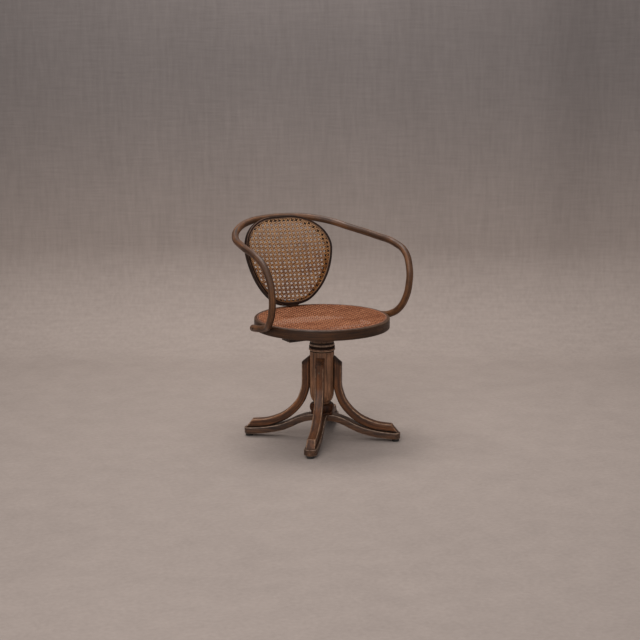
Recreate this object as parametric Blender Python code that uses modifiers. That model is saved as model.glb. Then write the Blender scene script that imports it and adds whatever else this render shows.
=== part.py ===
"""A round-seated bentwood desk chair that turns and rises on a screw spindle.

Every length is in metres and every angle in degrees. The chair faces -Y. Its
turning axis stands a little behind the middle of the bounding box, because the
back rail reaches further than the front of the seat.
"""
import math

import bmesh
import bpy
from mathutils import Vector

# Clearances between pieces that touch, and between pieces that run in each other
GAP = 0.0003
RUNNING_GAP = 0.0005
# Small chamfer on turned and sawn edges
EDGE = 0.0015
# Reach of a cutter that goes right through the base
CUTTER_REACH = 0.3

# Round seat
SEAT_R = 0.230
RING_HEIGHT = 0.0352
RING_WIDTH = 0.048
RING_EDGE = 0.004
RING_BORDER = 0.010
SEAT_CANE_THICKNESS = 0.0014
SEAT_CANE_SAG = 0.004
SEAT_CANE_GAPS = 7
SEAT_CANE_BAR = 0.022
SEAT_CANE_MARGIN = 0.004
SEAT_CANE_SIDES = 36

# Boards under the seat
BEARER_SETBACK = 0.048
BEARER_WIDTH = 0.054
BEARER_THICKNESS = 0.016
BEARER_OFFSET = 0.075

# Bent rod that makes the back rail and both arms
ROD_R = 0.0118
ROD_SIDES = 8
# One half of the rod's centre line, from the middle of the back rail to the arm's foot:
# direction from the axis, reach beyond the seat's edge, height above the seat's top
ROD_LINE = [
    (90.0, 0.1015, 0.2998),
    (80.41, 0.1001, 0.2988),
    (71.07, 0.0967, 0.2958),
    (57.06, 0.0881, 0.2838),
    (40.81, 0.0699, 0.2638),
    (16.82, 0.0395, 0.2488),
    (-7.36, 0.0433, 0.2348),
    (-19.19, 0.0591, 0.2108),
    (-25.36, 0.0668, 0.1648),
    (-26.85, 0.0663, 0.1208),
    (-24.96, 0.0547, 0.0600),
    (-18.71, 0.0335, 0.0145),
]
# The arm's foot along the seat ring: angle from the side, fall below the seat's top, stand-off
ROD_FOOT = [
    (-13, 0.0022, 0.0052),
    (-6, 0.0115, 0.0003),
    (3, 0.0180, 0.0),
    (12.5, 0.0235, 0.0),
]

# Caned back panel
PANEL_TILT = 19
PANEL_CURVE = 1.5
PANEL_SETBACK = 0.033
PANEL_RAISE = 0.0083
FRAME_WIDTH = 0.024
FRAME_DEPTH = 0.024
FRAME_ROUND = 0.004
CANE_INSET = 0.010
BACK_CANE_THICKNESS = 0.0014
CANE_PITCH_ACROSS = 0.0157
CANE_PITCH_UP = 0.0148
CANE_BAR = 0.0085
CANE_MARGIN = 0.0035
# One half of the panel's outline, from the middle of its lower edge: across, up the slope
PANEL_OUTLINE = [
    (0.000, 0.000),
    (0.060, 0.009),
    (0.109, 0.047),
    (0.144, 0.099),
    (0.164, 0.158),
    (0.1675, 0.206),
    (0.149, 0.254),
    (0.111, 0.291),
    (0.060, 0.312),
    (0.000, 0.316),
]
FOOT_BLOCK_WIDTH = 0.040
FOOT_BLOCK_DEPTH = 0.016

# Turned column and hub
COLUMN_R = 0.0415
COLUMN_TOP = 0.3185
LIP_R = 0.0446
LIP_HEIGHT = 0.008
LIP_EDGE = 0.002
BOWL_TOP = 0.172
BOWL_BOTTOM = 0.132
NECK_R = 0.0265
HUB_R = 0.042
HUB_FOOT_R = 0.037
HUB_TOP = 0.125
HUB_WAIST = 0.098
LEG_FLAT = 0.001

# Turning head and the washer that it turns on
WASHER_R = 0.044
WASHER_THICKNESS = 0.0084
HEAD_HEIGHT = 0.0416
HEAD_R = 0.0445
HEAD_NECK_R = 0.042
HEAD_NECK_HEIGHT = 0.004
HEAD_FLARE_HEIGHT = 0.013
HEAD_EDGE = 0.0015

# Screw spindle
SPINDLE_R = 0.0125
TENON_R = 0.009
RIVET_R = 0.012
RIVET_HEIGHT = 0.004
END_RIVET_HEIGHT = 0.002
NUT_FLANGE_R = 0.030
NUT_FLANGE_THICKNESS = 0.004
NUT_BARREL_R = 0.021
NUT_LENGTH = 0.030
SEAT_RISE = 0.080
COLLAR_R = 0.016
COLLAR_THICKNESS = 0.006
BORE_SPACE = 0.005
PLATE_LENGTH = 0.190
PLATE_WIDTH = 0.090
PLATE_THICKNESS = 0.004

# Four bent legs: the direction of the first one, counted from +X
LEG_ANGLE = -128.5
LEG_WIDTH = 0.030
LEG_DEPTH = 0.0275
LEG_ROUND = 0.006
LEG_TOP = 0.291
LEG_TOP_CHAMFER = 0.023
LEG_STRAIGHT_END = 0.202
LEG_TIP_CHAMFER = 0.024
# The leg's inner line below the column, down to the lower bar: distance from the axis, height
LEG_BEND = [
    (0.0435, 0.175),
    (0.058, 0.132),
    (0.081, 0.099),
    (0.113, 0.070),
    (0.145, 0.0525),
    (0.185, 0.0390),
    (0.225, 0.0340),
    (0.263, 0.0315),
]
SEAM_START = 0.184

# Two arched bars that cross under the hub
BAR_WIDTH = 0.044
BAR_DEPTH = 0.0225
BAR_ROUND = 0.004
BAR_TIP = 0.270
BAR_END_R = 0.0235
# The bar's upper line from the middle to where the leg lies on it
BAR_ARCH = [
    (0.000, 0.088),
    (0.036, 0.088),
    (0.060, 0.0835),
    (0.088, 0.073),
    (0.113, 0.0605),
    (0.145, 0.0475),
]
PAD_R = 0.013
PAD_HEIGHT = 0.0095
PAD_TAPER = 0.001
PAD_PLACE = 0.254
PAD_PIN_R = 0.003
PAD_PIN_LENGTH = 0.012

# Centre bolt
BOLT_R = 0.005
BOLT_HEAD_R = 0.009
BOLT_HEAD_HEIGHT = 0.006
BOLT_END = 0.165
BOLT_WASHER_R = 0.014
BOLT_WASHER_THICKNESS = 0.0015

# Wood screws
SCREW_R = 0.0022
SCREW_HEAD_R = 0.0045
SCREW_HEAD_HEIGHT = 0.0028
SCREW_POINT = 0.0044
LEG_SCREW_HEIGHTS = (0.245, 0.195)
LEG_SCREW_LENGTH = 0.042
FOOT_SCREW_PLACE = 0.213
FOOT_SCREW_LENGTH = 0.034
NUT_SCREW_LENGTH = 0.016
PLATE_SCREW_PLACE = 0.030
PLATE_SCREW_LENGTH = 0.015
BEARER_SCREW_INSET = 0.012
BEARER_SCREW_OFFSET = 0.085
BEARER_SCREW_LENGTH = 0.032
ROD_SCREW_ANGLES = (-5, 6)
ROD_SCREW_LENGTH = 0.040
BACK_SCREW_LENGTH = 0.034
FOOT_BLOCK_SCREW_LENGTH = 0.048

# What follows from the sizes above
WASHER_TOP = COLUMN_TOP + GAP + WASHER_THICKNESS
HEAD_BOTTOM = WASHER_TOP + GAP
HEAD_TOP = HEAD_BOTTOM + HEAD_HEIGHT
PLATE_BOTTOM = HEAD_TOP + GAP
BEARER_BOTTOM = PLATE_BOTTOM + PLATE_THICKNESS + GAP
RING_BOTTOM = BEARER_BOTTOM + BEARER_THICKNESS + GAP
SEAT_TOP = RING_BOTTOM + RING_HEIGHT
BEARER_LENGTH = 2 * (SEAT_R - BEARER_SETBACK)
RAIL_BACK = SEAT_R + ROD_LINE[0][1] + ROD_R
AXIS_Y = (SEAT_R - RAIL_BACK) / 2
PANEL_BASE_Y = SEAT_R - PANEL_SETBACK
PANEL_BASE_Z = SEAT_TOP + PANEL_RAISE
NUT_BOTTOM = COLUMN_TOP - NUT_LENGTH
COLLAR_TOP = NUT_BOTTOM - SEAT_RISE - 3 * GAP
SPINDLE_END = COLLAR_TOP - COLLAR_THICKNESS
BORE_BOTTOM = SPINDLE_END - BORE_SPACE
LEG_INNER = COLUMN_R - LEG_FLAT + GAP
FOOT_SEAT = PAD_HEIGHT + GAP
BAR_BOTTOM = BAR_ARCH[0][1] - BAR_DEPTH
ROD_FOOT_R = SEAT_R + ROD_R + RUNNING_GAP
LEG_ANGLES = [LEG_ANGLE + 90 * turn for turn in range(4)]

chair = bpy.data.collections.new("desk_chair")
tools = bpy.data.collections.new("cutters")


def start():
    """Empty the file and add the two collections."""
    for old in list(bpy.data.objects):
        bpy.data.objects.remove(old)
    bpy.context.scene.collection.children.link(chair)
    bpy.context.scene.collection.children.link(tools)


def empty(name, location, parent=None):
    """An axis or a frame that pieces are placed from."""
    holder = bpy.data.objects.new(name, None)
    holder.location = location
    holder.parent = parent
    chair.objects.link(holder)
    return holder


def material(name, colour, roughness, metallic=0.0):
    """A plain finish for one kind of piece."""
    made = bpy.data.materials.new(name)
    made.use_nodes = True
    shader = made.node_tree.nodes["Principled BSDF"]
    shader.inputs["Base Color"].default_value = (*colour, 1.0)
    shader.inputs["Roughness"].default_value = roughness
    shader.inputs["Metallic"].default_value = metallic
    return made


def place(name, mesh, finish, parent, location=(0, 0, 0), rotation=(0, 0, 0)):
    """Put a mesh in the chair as a named piece, or among the cutters without a finish."""
    piece = bpy.data.objects.new(name, mesh)
    piece.location = location
    piece.rotation_euler = rotation
    piece.parent = parent
    if finish is None:
        piece.display_type = "WIRE"
        piece.hide_render = True
        tools.objects.link(piece)
    else:
        mesh.materials.append(finish)
        mesh.shade_smooth()
        mesh.set_sharp_from_angle(angle=math.radians(35))
        chair.objects.link(piece)
    return piece


def turned(name, profile, finish, parent, location=(0, 0, 0), rotation=(0, 0, 0), sides=20):
    """A piece turned about its own Z; the profile runs down its outer side."""
    mesh = bpy.data.meshes.new(name)
    count = len(profile)
    edges = [(index, index + 1) for index in range(count - 1)]
    if profile[0][0] > 0:
        edges.append((count - 1, 0))
    mesh.from_pydata([(radius, 0, height) for radius, height in profile], edges, [])
    piece = place(name, mesh, finish, parent, location, rotation)
    turn = piece.modifiers.new("turn", "SCREW")
    turn.steps = sides
    turn.render_steps = sides
    turn.use_merge_vertices = True
    turn.merge_threshold = 0.00001
    turn.use_smooth_shade = True
    return piece


def box(name, size, finish, parent, location=(0, 0, 0), rotation=(0, 0, 0), rounding=0.0):
    """A block about its own middle, with its edges rounded where asked."""
    shape = bmesh.new()
    bmesh.ops.create_cube(shape, size=1.0)
    bmesh.ops.scale(shape, vec=size, verts=shape.verts)
    mesh = bpy.data.meshes.new(name)
    shape.to_mesh(mesh)
    shape.free()
    piece = place(name, mesh, finish, parent, location, rotation)
    if rounding:
        edge = piece.modifiers.new("edge", "BEVEL")
        edge.width = rounding
        edge.segments = 2
    return piece


def as_mesh(name, curve):
    """The mesh of a curve with its caps welded on."""
    holder = bpy.data.objects.new(name, curve)
    bpy.context.scene.collection.objects.link(holder)
    bpy.context.view_layer.update()
    state = bpy.context.evaluated_depsgraph_get()
    mesh = bpy.data.meshes.new_from_object(holder.evaluated_get(state))
    bpy.data.objects.remove(holder)
    mesh.name = name
    mesh.materials.clear()
    shape = bmesh.new()
    shape.from_mesh(mesh)
    bmesh.ops.remove_doubles(shape, verts=shape.verts, dist=0.00001)
    bmesh.ops.recalc_face_normals(shape, faces=shape.faces)
    shape.to_mesh(mesh)
    shape.free()
    return mesh


def add_loop(curve, points):
    """A closed run of straight stretches in a flat curve."""
    spline = curve.splines.new("POLY")
    spline.points.add(len(points) - 1)
    for target, point in zip(spline.points, points):
        target.co = (*point, 0, 1)
    spline.use_cyclic_u = True


def slab(name, loops, thickness, rounding=0.0):
    """The mesh of a flat outline with a thickness; loops after the first are holes."""
    curve = bpy.data.curves.new(name, "CURVE")
    curve.dimensions = "2D"
    curve.fill_mode = "BOTH"
    curve.extrude = thickness / 2 - rounding
    curve.bevel_depth = rounding
    curve.bevel_resolution = 0
    curve.offset = -rounding
    for points in loops:
        add_loop(curve, points)
    return as_mesh(name, curve)


def rod(name, points, radius):
    """The mesh of a round rod through smooth points."""
    curve = bpy.data.curves.new(name, "CURVE")
    curve.dimensions = "3D"
    curve.bevel_depth = radius
    curve.bevel_resolution = (ROD_SIDES - 4) // 2
    curve.resolution_u = 3
    curve.use_fill_caps = True
    spline = curve.splines.new("BEZIER")
    spline.bezier_points.add(len(points) - 1)
    for target, point in zip(spline.bezier_points, points):
        target.co = point
        target.handle_left_type = "AUTO"
        target.handle_right_type = "AUTO"
    return as_mesh(name, curve)


def smooth(points, steps, closed=False):
    """Points along a smooth curve through the given ones, as many steps between each two."""
    count = len(points)
    found = []
    for index in range(count if closed else count - 1):
        near = [index - 1, index, index + 1, index + 2]
        if closed:
            near = [at % count for at in near]
        else:
            near = [min(max(at, 0), count - 1) for at in near]
        before, first, last, after = (Vector(points[at]) for at in near)
        for step in range(steps):
            t = step / steps
            bend = (2 * before - 5 * first + 4 * last - after) * t * t
            curl = (3 * first - before - 3 * last + after) * t * t * t
            found.append(tuple((2 * first + (last - before) * t + bend + curl) / 2))
    if not closed:
        found.append(tuple(points[-1]))
    return found


def offset(points, distance, closed=False):
    """The same line moved sideways, to the left of its direction."""
    count = len(points)
    moved = []
    for index, point in enumerate(points):
        if closed:
            before, after = points[index - 1], points[(index + 1) % count]
        else:
            before, after = points[max(index - 1, 0)], points[min(index + 1, count - 1)]
        along = (Vector(after) - Vector(before)).normalized()
        moved.append((point[0] - along.y * distance, point[1] + along.x * distance))
    return moved


def level(line, value):
    """The second value of a line of points where its first value is the given one."""
    for near, far in zip(line, line[1:]):
        if value <= far[0]:
            break
    share = (value - near[0]) / (far[0] - near[0])
    return near[1] + share * (far[1] - near[1])


def cut(piece, cutter, operation="DIFFERENCE"):
    """Cut a piece with another shape."""
    step = piece.modifiers.new(cutter.name, "BOOLEAN")
    step.operation = operation
    step.solver = "EXACT"
    step.object = cutter


def screw(name, head, inward, length, finish, parent, targets):
    """A countersunk wood screw with its hole in each target; inward is the way it drives."""
    turn = (-Vector(inward)).to_track_quat("Z", "Y").to_euler()
    profile = [
        (0, 0),
        (SCREW_HEAD_R, 0),
        (SCREW_R, -SCREW_HEAD_HEIGHT),
        (SCREW_R, SCREW_POINT - length),
        (0, -length),
    ]
    turned(name, profile, finish, parent, head, turn, sides=8)
    hole = [
        (0, SCREW_HEAD_R),
        (SCREW_HEAD_R + GAP, SCREW_HEAD_R),
        (SCREW_HEAD_R + GAP, -GAP),
        (SCREW_R + GAP, -SCREW_HEAD_HEIGHT - GAP),
        (SCREW_R + GAP, -length - GAP),
        (0, -length - GAP),
    ]
    drill = turned(name + "_hole", hole, None, parent, head, turn, sides=8)
    for target in targets:
        cut(target, drill)


def around(angle, radius, height):
    """A point given by its direction and distance from the turning axis."""
    turn = math.radians(angle)
    return Vector((radius * math.cos(turn), radius * math.sin(turn), height))


def make_column(parent, wood):
    """Turned column with the spindle's bore from above and the bolt's from below."""
    flange_r = NUT_FLANGE_R + GAP
    flange_seat = COLUMN_TOP - NUT_FLANGE_THICKNESS - GAP
    barrel_r = NUT_BARREL_R + GAP
    bore_r = COLLAR_R + 3 * RUNNING_GAP
    bowl = []
    for step in range(5):
        turn = math.radians(90 * step / 4)
        radius = NECK_R + (COLUMN_R - NECK_R) * math.cos(turn)
        bowl.append((radius, BOWL_TOP - (BOWL_TOP - BOWL_BOTTOM) * math.sin(turn)))
    profile = [
        (0, BORE_BOTTOM),
        (bore_r, BORE_BOTTOM),
        (bore_r, NUT_BOTTOM - GAP),
        (barrel_r, NUT_BOTTOM - GAP),
        (barrel_r, flange_seat),
        (flange_r, flange_seat),
        (flange_r, COLUMN_TOP),
        (LIP_R - LIP_EDGE, COLUMN_TOP),
        (LIP_R, COLUMN_TOP - LIP_EDGE),
        (LIP_R, COLUMN_TOP - LIP_HEIGHT + LIP_EDGE),
        (LIP_R - LIP_EDGE, COLUMN_TOP - LIP_HEIGHT),
        (COLUMN_R, COLUMN_TOP - LIP_HEIGHT - LIP_EDGE),
        *bowl,
        (NECK_R, HUB_TOP + GAP),
        (BOLT_R + GAP, HUB_TOP + GAP),
        (BOLT_R + GAP, BOLT_END + GAP),
        (0, BOLT_END + GAP),
    ]
    column = turned("column", profile, wood, parent)
    flat_depth = COLUMN_R
    for number, angle in enumerate(LEG_ANGLES, 1):
        middle = around(angle, COLUMN_R - LEG_FLAT + flat_depth / 2, (LEG_TOP + BOWL_TOP) / 2)
        size = (flat_depth, LEG_WIDTH + 2 * GAP, LEG_TOP - BOWL_TOP + 2 * GAP)
        cut(column, box(f"leg_flat_{number}", size, None, parent, middle, (0, 0, math.radians(angle))))
    return column


def make_hub(parent, wood):
    """Turned boss between the column and the crossed bars."""
    bottom = BAR_ARCH[0][1] + GAP
    bead = HUB_TOP - HUB_WAIST
    profile = []
    for step in range(5):
        turn = math.radians(180 * step / 4)
        bulge = HUB_R - (bead / 4) * (1 - math.sin(turn))
        profile.append((bulge, HUB_WAIST + bead / 2 + bead / 2 * math.cos(turn)))
    profile += [
        (HUB_FOOT_R - EDGE, HUB_WAIST - EDGE),
        (HUB_FOOT_R, HUB_WAIST - 2 * EDGE),
        (HUB_FOOT_R, bottom),
        (BOLT_R + GAP, bottom),
        (BOLT_R + GAP, HUB_TOP),
    ]
    return turned("lower_hub", profile, wood, parent)


def leg_lines():
    """The leg's inner line from its top to its tip, and its outer line the other way."""
    inner = smooth([(LEG_INNER, LEG_STRAIGHT_END)] + LEG_BEND, 2)
    tip = LEG_BEND[-1][0] - LEG_TIP_CHAMFER
    outer = [point for point in offset(inner, LEG_DEPTH) if point[0] < tip]
    chamfered = (LEG_INNER + LEG_DEPTH, LEG_TOP - LEG_TOP_CHAMFER)
    return [(LEG_INNER, LEG_TOP)] + inner, [chamfered] + outer


def make_legs(parent, wood, steel, column):
    """Four bent legs, each screwed to a flat on the column."""
    inner, outer = leg_lines()
    outline = inner + outer[::-1]
    legs = []
    for number, angle in enumerate(LEG_ANGLES, 1):
        mesh = slab(f"upper_leg_{number}", [outline], LEG_WIDTH, LEG_ROUND)
        turn = (math.radians(90), 0, math.radians(angle))
        leg = place(f"upper_leg_{number}", mesh, wood, parent, rotation=turn)
        for row, height in zip(("upper", "lower"), LEG_SCREW_HEIGHTS):
            head = around(angle, LEG_INNER + LEG_DEPTH - GAP, height)
            name = f"leg_{number}_{row}_screw"
            screw(name, head, around(angle, -1, 0), LEG_SCREW_LENGTH, steel, parent, [leg, column])
        legs.append(leg)
    return legs


def make_bars(parent, wood, steel, legs):
    """Two arched bars, halved into each other, with a leg lying on each end."""
    inner, _ = leg_lines()
    seam = [(point[0], point[1] - GAP) for point in inner if point[0] >= SEAM_START]
    top = smooth(BAR_ARCH + [seam[0]], 2)[:-1] + seam
    top.append((BAR_TIP, top[-1][1]))
    bottom = [(point[0], max(point[1], FOOT_SEAT)) for point in offset(top, -BAR_DEPTH)]
    bottom[0] = (0, BAR_BOTTOM)
    bottom[-1] = (BAR_TIP, FOOT_SEAT)
    half_top = [(-point[0], point[1]) for point in top[:0:-1]]
    half_bottom = [(-point[0], point[1]) for point in bottom[1:]]
    outline = half_top + top + bottom[::-1] + half_bottom
    plan = []
    for side, way in ((0, 1), (180, -1)):
        for step in range(9):
            turn = math.radians(side - 90 + 180 * step / 8)
            middle = way * (BAR_TIP - BAR_END_R)
            plan.append((middle + BAR_END_R * math.cos(turn), BAR_END_R * math.sin(turn)))
    bars = []
    middle_height = BAR_ARCH[0][1] - BAR_DEPTH / 2
    for number, angle in enumerate(LEG_ANGLES[:2]):
        name = f"cross_bar_{number + 1}"
        turn = math.radians(angle)
        mesh = slab(name, [outline], BAR_WIDTH, BAR_ROUND)
        bar = place(name, mesh, wood, parent, rotation=(math.radians(90), 0, turn))
        ends = slab(name + "_ends", [plan], CUTTER_REACH)
        cut(bar, place(name + "_ends", ends, None, parent, rotation=(0, 0, turn)), "INTERSECT")
        way = 1 if number == 0 else -1
        size = (BAR_WIDTH + 2 * GAP, 2 * BAR_WIDTH, BAR_DEPTH)
        lap_at = (0, 0, middle_height + way * (BAR_DEPTH - GAP) / 2)
        cut(bar, box(name + "_lap", size, None, parent, lap_at, (0, 0, turn)))
        bars.append(bar)
    for number, angle in enumerate(LEG_ANGLES, 1):
        head = around(angle, FOOT_SCREW_PLACE, level(bottom, FOOT_SCREW_PLACE) + GAP)
        targets = [bars[(number - 1) % 2], legs[number - 1]]
        screw(f"foot_screw_{number}", head, (0, 0, 1), FOOT_SCREW_LENGTH, steel, parent, targets)
    return bars


def make_pads(parent, rubber, bars):
    """Round glides with a pin that is driven into each foot."""
    pin_top = PAD_HEIGHT + PAD_PIN_LENGTH
    profile = [
        (0, pin_top),
        (PAD_PIN_R, pin_top),
        (PAD_PIN_R, PAD_HEIGHT),
        (PAD_R, PAD_HEIGHT),
        (PAD_R - PAD_TAPER, 0),
        (0, 0),
    ]
    pin_hole = [
        (0, pin_top + GAP),
        (PAD_PIN_R + GAP, pin_top + GAP),
        (PAD_PIN_R + GAP, 0),
        (0, 0),
    ]
    for number, angle in enumerate(LEG_ANGLES, 1):
        at = around(angle, PAD_PLACE, 0)
        turned(f"foot_pad_{number}", profile, rubber, parent, at, sides=16)
        hole = turned(f"foot_pad_{number}_hole", pin_hole, None, parent, at, sides=16)
        cut(bars[(number - 1) % 2], hole)


def make_centre_bolt(parent, steel, bars):
    """Bolt that draws the bars and the hub up to the column."""
    washer_top = BAR_BOTTOM - GAP
    washer_bottom = washer_top - BOLT_WASHER_THICKNESS
    washer = [
        (BOLT_WASHER_R, washer_top),
        (BOLT_WASHER_R, washer_bottom),
        (BOLT_R + GAP, washer_bottom),
        (BOLT_R + GAP, washer_top),
    ]
    turned("centre_washer", washer, steel, parent, sides=20)
    head_top = washer_bottom - GAP
    bolt = [
        (0, BOLT_END),
        (BOLT_R, BOLT_END),
        (BOLT_R, head_top),
        (BOLT_HEAD_R, head_top),
        (BOLT_HEAD_R, head_top - BOLT_HEAD_HEIGHT),
        (0, head_top - BOLT_HEAD_HEIGHT),
    ]
    turned("centre_bolt", bolt, steel, parent, sides=12)
    hole = [(0, HUB_TOP), (BOLT_R + GAP, HUB_TOP), (BOLT_R + GAP, 0), (0, 0)]
    drill = turned("centre_bolt_hole", hole, None, parent, sides=12)
    for bar in bars:
        cut(bar, drill)


def make_nut(parent, iron, steel, column):
    """Flanged nut let into the column's top."""
    bore_r = SPINDLE_R + RUNNING_GAP
    profile = [
        (NUT_FLANGE_R, COLUMN_TOP),
        (NUT_FLANGE_R, COLUMN_TOP - NUT_FLANGE_THICKNESS),
        (NUT_BARREL_R, COLUMN_TOP - NUT_FLANGE_THICKNESS),
        (NUT_BARREL_R, NUT_BOTTOM),
        (bore_r, NUT_BOTTOM),
        (bore_r, COLUMN_TOP),
    ]
    nut = turned("spindle_nut", profile, iron, parent)
    reach = (NUT_FLANGE_R + NUT_BARREL_R) / 2
    for number, way in enumerate((1, -1), 1):
        head = (way * reach, 0, COLUMN_TOP - GAP)
        screw(f"nut_screw_{number}", head, (0, 0, -1), NUT_SCREW_LENGTH, steel, parent, [nut, column])


def make_base(parent, finishes):
    """Everything that stands still on the floor."""
    column = make_column(parent, finishes["wood"])
    make_hub(parent, finishes["wood"])
    legs = make_legs(parent, finishes["wood"], finishes["steel"], column)
    bars = make_bars(parent, finishes["wood"], finishes["steel"], legs)
    make_pads(parent, finishes["rubber"], bars)
    make_centre_bolt(parent, finishes["steel"], bars)
    make_nut(parent, finishes["iron"], finishes["steel"], column)


def make_washer(parent, finishes):
    """Dark washer between the still column and the turning head."""
    bore_r = COLLAR_R + 3 * RUNNING_GAP
    top = WASHER_TOP
    bottom = COLUMN_TOP + GAP
    profile = [
        (WASHER_R - EDGE, top),
        (WASHER_R, top - EDGE),
        (WASHER_R, bottom + EDGE),
        (WASHER_R - EDGE, bottom),
        (bore_r, bottom),
        (bore_r, top),
    ]
    turned("thrust_washer", profile, finishes["leather"], parent)


def make_spindle(parent, finishes):
    """Turning head, iron plate, spindle and the collar that stops it leaving its nut."""
    head = [
        (HEAD_R, HEAD_TOP),
        (HEAD_R, HEAD_BOTTOM + HEAD_NECK_HEIGHT + HEAD_FLARE_HEIGHT),
        (HEAD_NECK_R, HEAD_BOTTOM + HEAD_NECK_HEIGHT),
        (HEAD_NECK_R, HEAD_BOTTOM + HEAD_EDGE),
        (HEAD_NECK_R - HEAD_EDGE, HEAD_BOTTOM),
        (SPINDLE_R + RUNNING_GAP, HEAD_BOTTOM),
        (SPINDLE_R + RUNNING_GAP, HEAD_TOP),
    ]
    turned("turning_head", head, finishes["wood"], parent)
    rivet = PLATE_BOTTOM + PLATE_THICKNESS + GAP
    spindle = [
        (0, rivet + RIVET_HEIGHT),
        (RIVET_R - EDGE, rivet + RIVET_HEIGHT - EDGE),
        (RIVET_R, rivet),
        (TENON_R, rivet),
        (TENON_R, HEAD_TOP),
        (SPINDLE_R, HEAD_TOP),
        (SPINDLE_R, COLLAR_TOP + GAP),
        (TENON_R, COLLAR_TOP + GAP),
        (TENON_R, SPINDLE_END - GAP),
        (TENON_R + EDGE, SPINDLE_END - GAP),
        (TENON_R + EDGE, SPINDLE_END - END_RIVET_HEIGHT),
        (0, SPINDLE_END - END_RIVET_HEIGHT),
    ]
    turned("spindle", spindle, finishes["iron"], parent)
    collar = [
        (COLLAR_R, COLLAR_TOP),
        (COLLAR_R, SPINDLE_END),
        (TENON_R + GAP, SPINDLE_END),
        (TENON_R + GAP, COLLAR_TOP),
    ]
    turned("stop_collar", collar, finishes["iron"], parent)
    middle = PLATE_BOTTOM + PLATE_THICKNESS / 2
    size = (PLATE_WIDTH, PLATE_LENGTH, PLATE_THICKNESS)
    plate = box("seat_plate", size, finishes["iron"], parent, (0, 0, middle))
    hole = [(0, rivet), (TENON_R + GAP, rivet), (TENON_R + GAP, HEAD_TOP), (0, HEAD_TOP)]
    cut(plate, turned("seat_plate_hole", hole, None, parent))
    return plate


def make_bearers(parent, finishes, plate, ring):
    """Two boards that carry the ring on the iron plate."""
    middle = BEARER_BOTTOM + BEARER_THICKNESS / 2
    size = (BEARER_LENGTH, BEARER_WIDTH, BEARER_THICKNESS)
    steel = finishes["steel"]
    for side, way in (("front", -1), ("rear", 1)):
        at = (0, way * BEARER_OFFSET, middle)
        bearer = box(f"{side}_bearer", size, finishes["wood"], parent, at, rounding=EDGE)
        for hand, across in (("left", 1), ("right", -1)):
            head = (across * PLATE_SCREW_PLACE, way * BEARER_OFFSET, PLATE_BOTTOM + GAP)
            name = f"plate_screw_{side}_{hand}"
            screw(name, head, (0, 0, 1), PLATE_SCREW_LENGTH, steel, parent, [plate, bearer])
            out = across * (BEARER_LENGTH / 2 - BEARER_SCREW_INSET)
            head = (out, way * BEARER_SCREW_OFFSET, BEARER_BOTTOM + GAP)
            name = f"bearer_screw_{side}_{hand}"
            screw(name, head, (0, 0, 1), BEARER_SCREW_LENGTH, steel, parent, [bearer, ring])


def square(x, y, half_across, half_up):
    """A loop of four corners about a point."""
    left, right, low, high = x - half_across, x + half_across, y - half_up, y + half_up
    return [(left, low), (right, low), (right, high), (left, high)]


def even_fill(shape):
    """Give a net's flat sides evener triangles."""
    flat = [face for face in shape.faces if abs(face.normal.z) > 0.5]
    inner = [edge for edge in shape.edges if all(face in flat for face in edge.link_faces)]
    bmesh.ops.beautify_fill(shape, faces=flat, edges=inner)


def seat_net(inner_r, edge_r):
    """Round net of square openings that sags inside the ring, with a flat rim that lies on it."""
    pitch = 2 * inner_r / SEAT_CANE_GAPS
    half = (pitch - SEAT_CANE_BAR) / 2
    reach = SEAT_CANE_GAPS // 2
    turns = [math.tau * step / SEAT_CANE_SIDES for step in range(SEAT_CANE_SIDES)]
    loops = [[(inner_r * math.cos(turn), inner_r * math.sin(turn)) for turn in turns]]
    for column in range(-reach, reach + 1):
        for row in range(-reach, reach + 1):
            x, y = column * pitch, row * pitch
            if math.hypot(abs(x) + half, abs(y) + half) < inner_r - SEAT_CANE_MARGIN:
                loops.append(square(x, y, half, half))
    mesh = slab("seat_cane", loops, SEAT_CANE_THICKNESS)
    shape = bmesh.new()
    shape.from_mesh(mesh)
    even_fill(shape)
    rim = []
    for face in shape.faces:
        nearest = min(vertex.co.xy.length for vertex in face.verts)
        if nearest > inner_r - SEAT_CANE_MARGIN and abs(face.normal.z) < 0.5:
            rim.append(face)
    grown = bmesh.ops.extrude_face_region(shape, geom=rim)["geom"]
    outer = [part for part in grown if isinstance(part, bmesh.types.BMVert)]
    bmesh.ops.delete(shape, geom=rim, context="FACES_ONLY")
    bmesh.ops.scale(shape, vec=(edge_r / inner_r, edge_r / inner_r, 1), verts=outer)
    for vertex in shape.verts:
        share = min(vertex.co.xy.length / inner_r, 1)
        vertex.co.z += SEAT_TOP - SEAT_CANE_THICKNESS / 2 - SEAT_CANE_SAG * (1 - share ** 2)
    shape.to_mesh(mesh)
    shape.free()
    return mesh


def make_seat(parent, finishes):
    """Bent ring with the cane let into its top."""
    cane_r = SEAT_R - RING_BORDER
    inner_r = SEAT_R - RING_WIDTH
    seat = SEAT_TOP - SEAT_CANE_THICKNESS - GAP
    edge = []
    for step in range(3):
        turn = math.radians(45 * step)
        edge.append((
            SEAT_R - RING_EDGE * (1 - math.sin(turn)),
            SEAT_TOP - RING_EDGE * (1 - math.cos(turn)),
        ))
    profile = edge + [
        (SEAT_R, RING_BOTTOM + EDGE),
        (SEAT_R - EDGE, RING_BOTTOM),
        (inner_r, RING_BOTTOM),
        (inner_r, seat - 2 * EDGE),
        (inner_r + 2 * EDGE, seat),
        (cane_r, seat),
        (cane_r, SEAT_TOP),
    ]
    ring = turned("seat_ring", profile, finishes["wood"], parent, sides=48)
    cane = place("seat_cane", seat_net(inner_r, cane_r - RUNNING_GAP), finishes["seat_cane"], parent)
    return ring, cane


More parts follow.
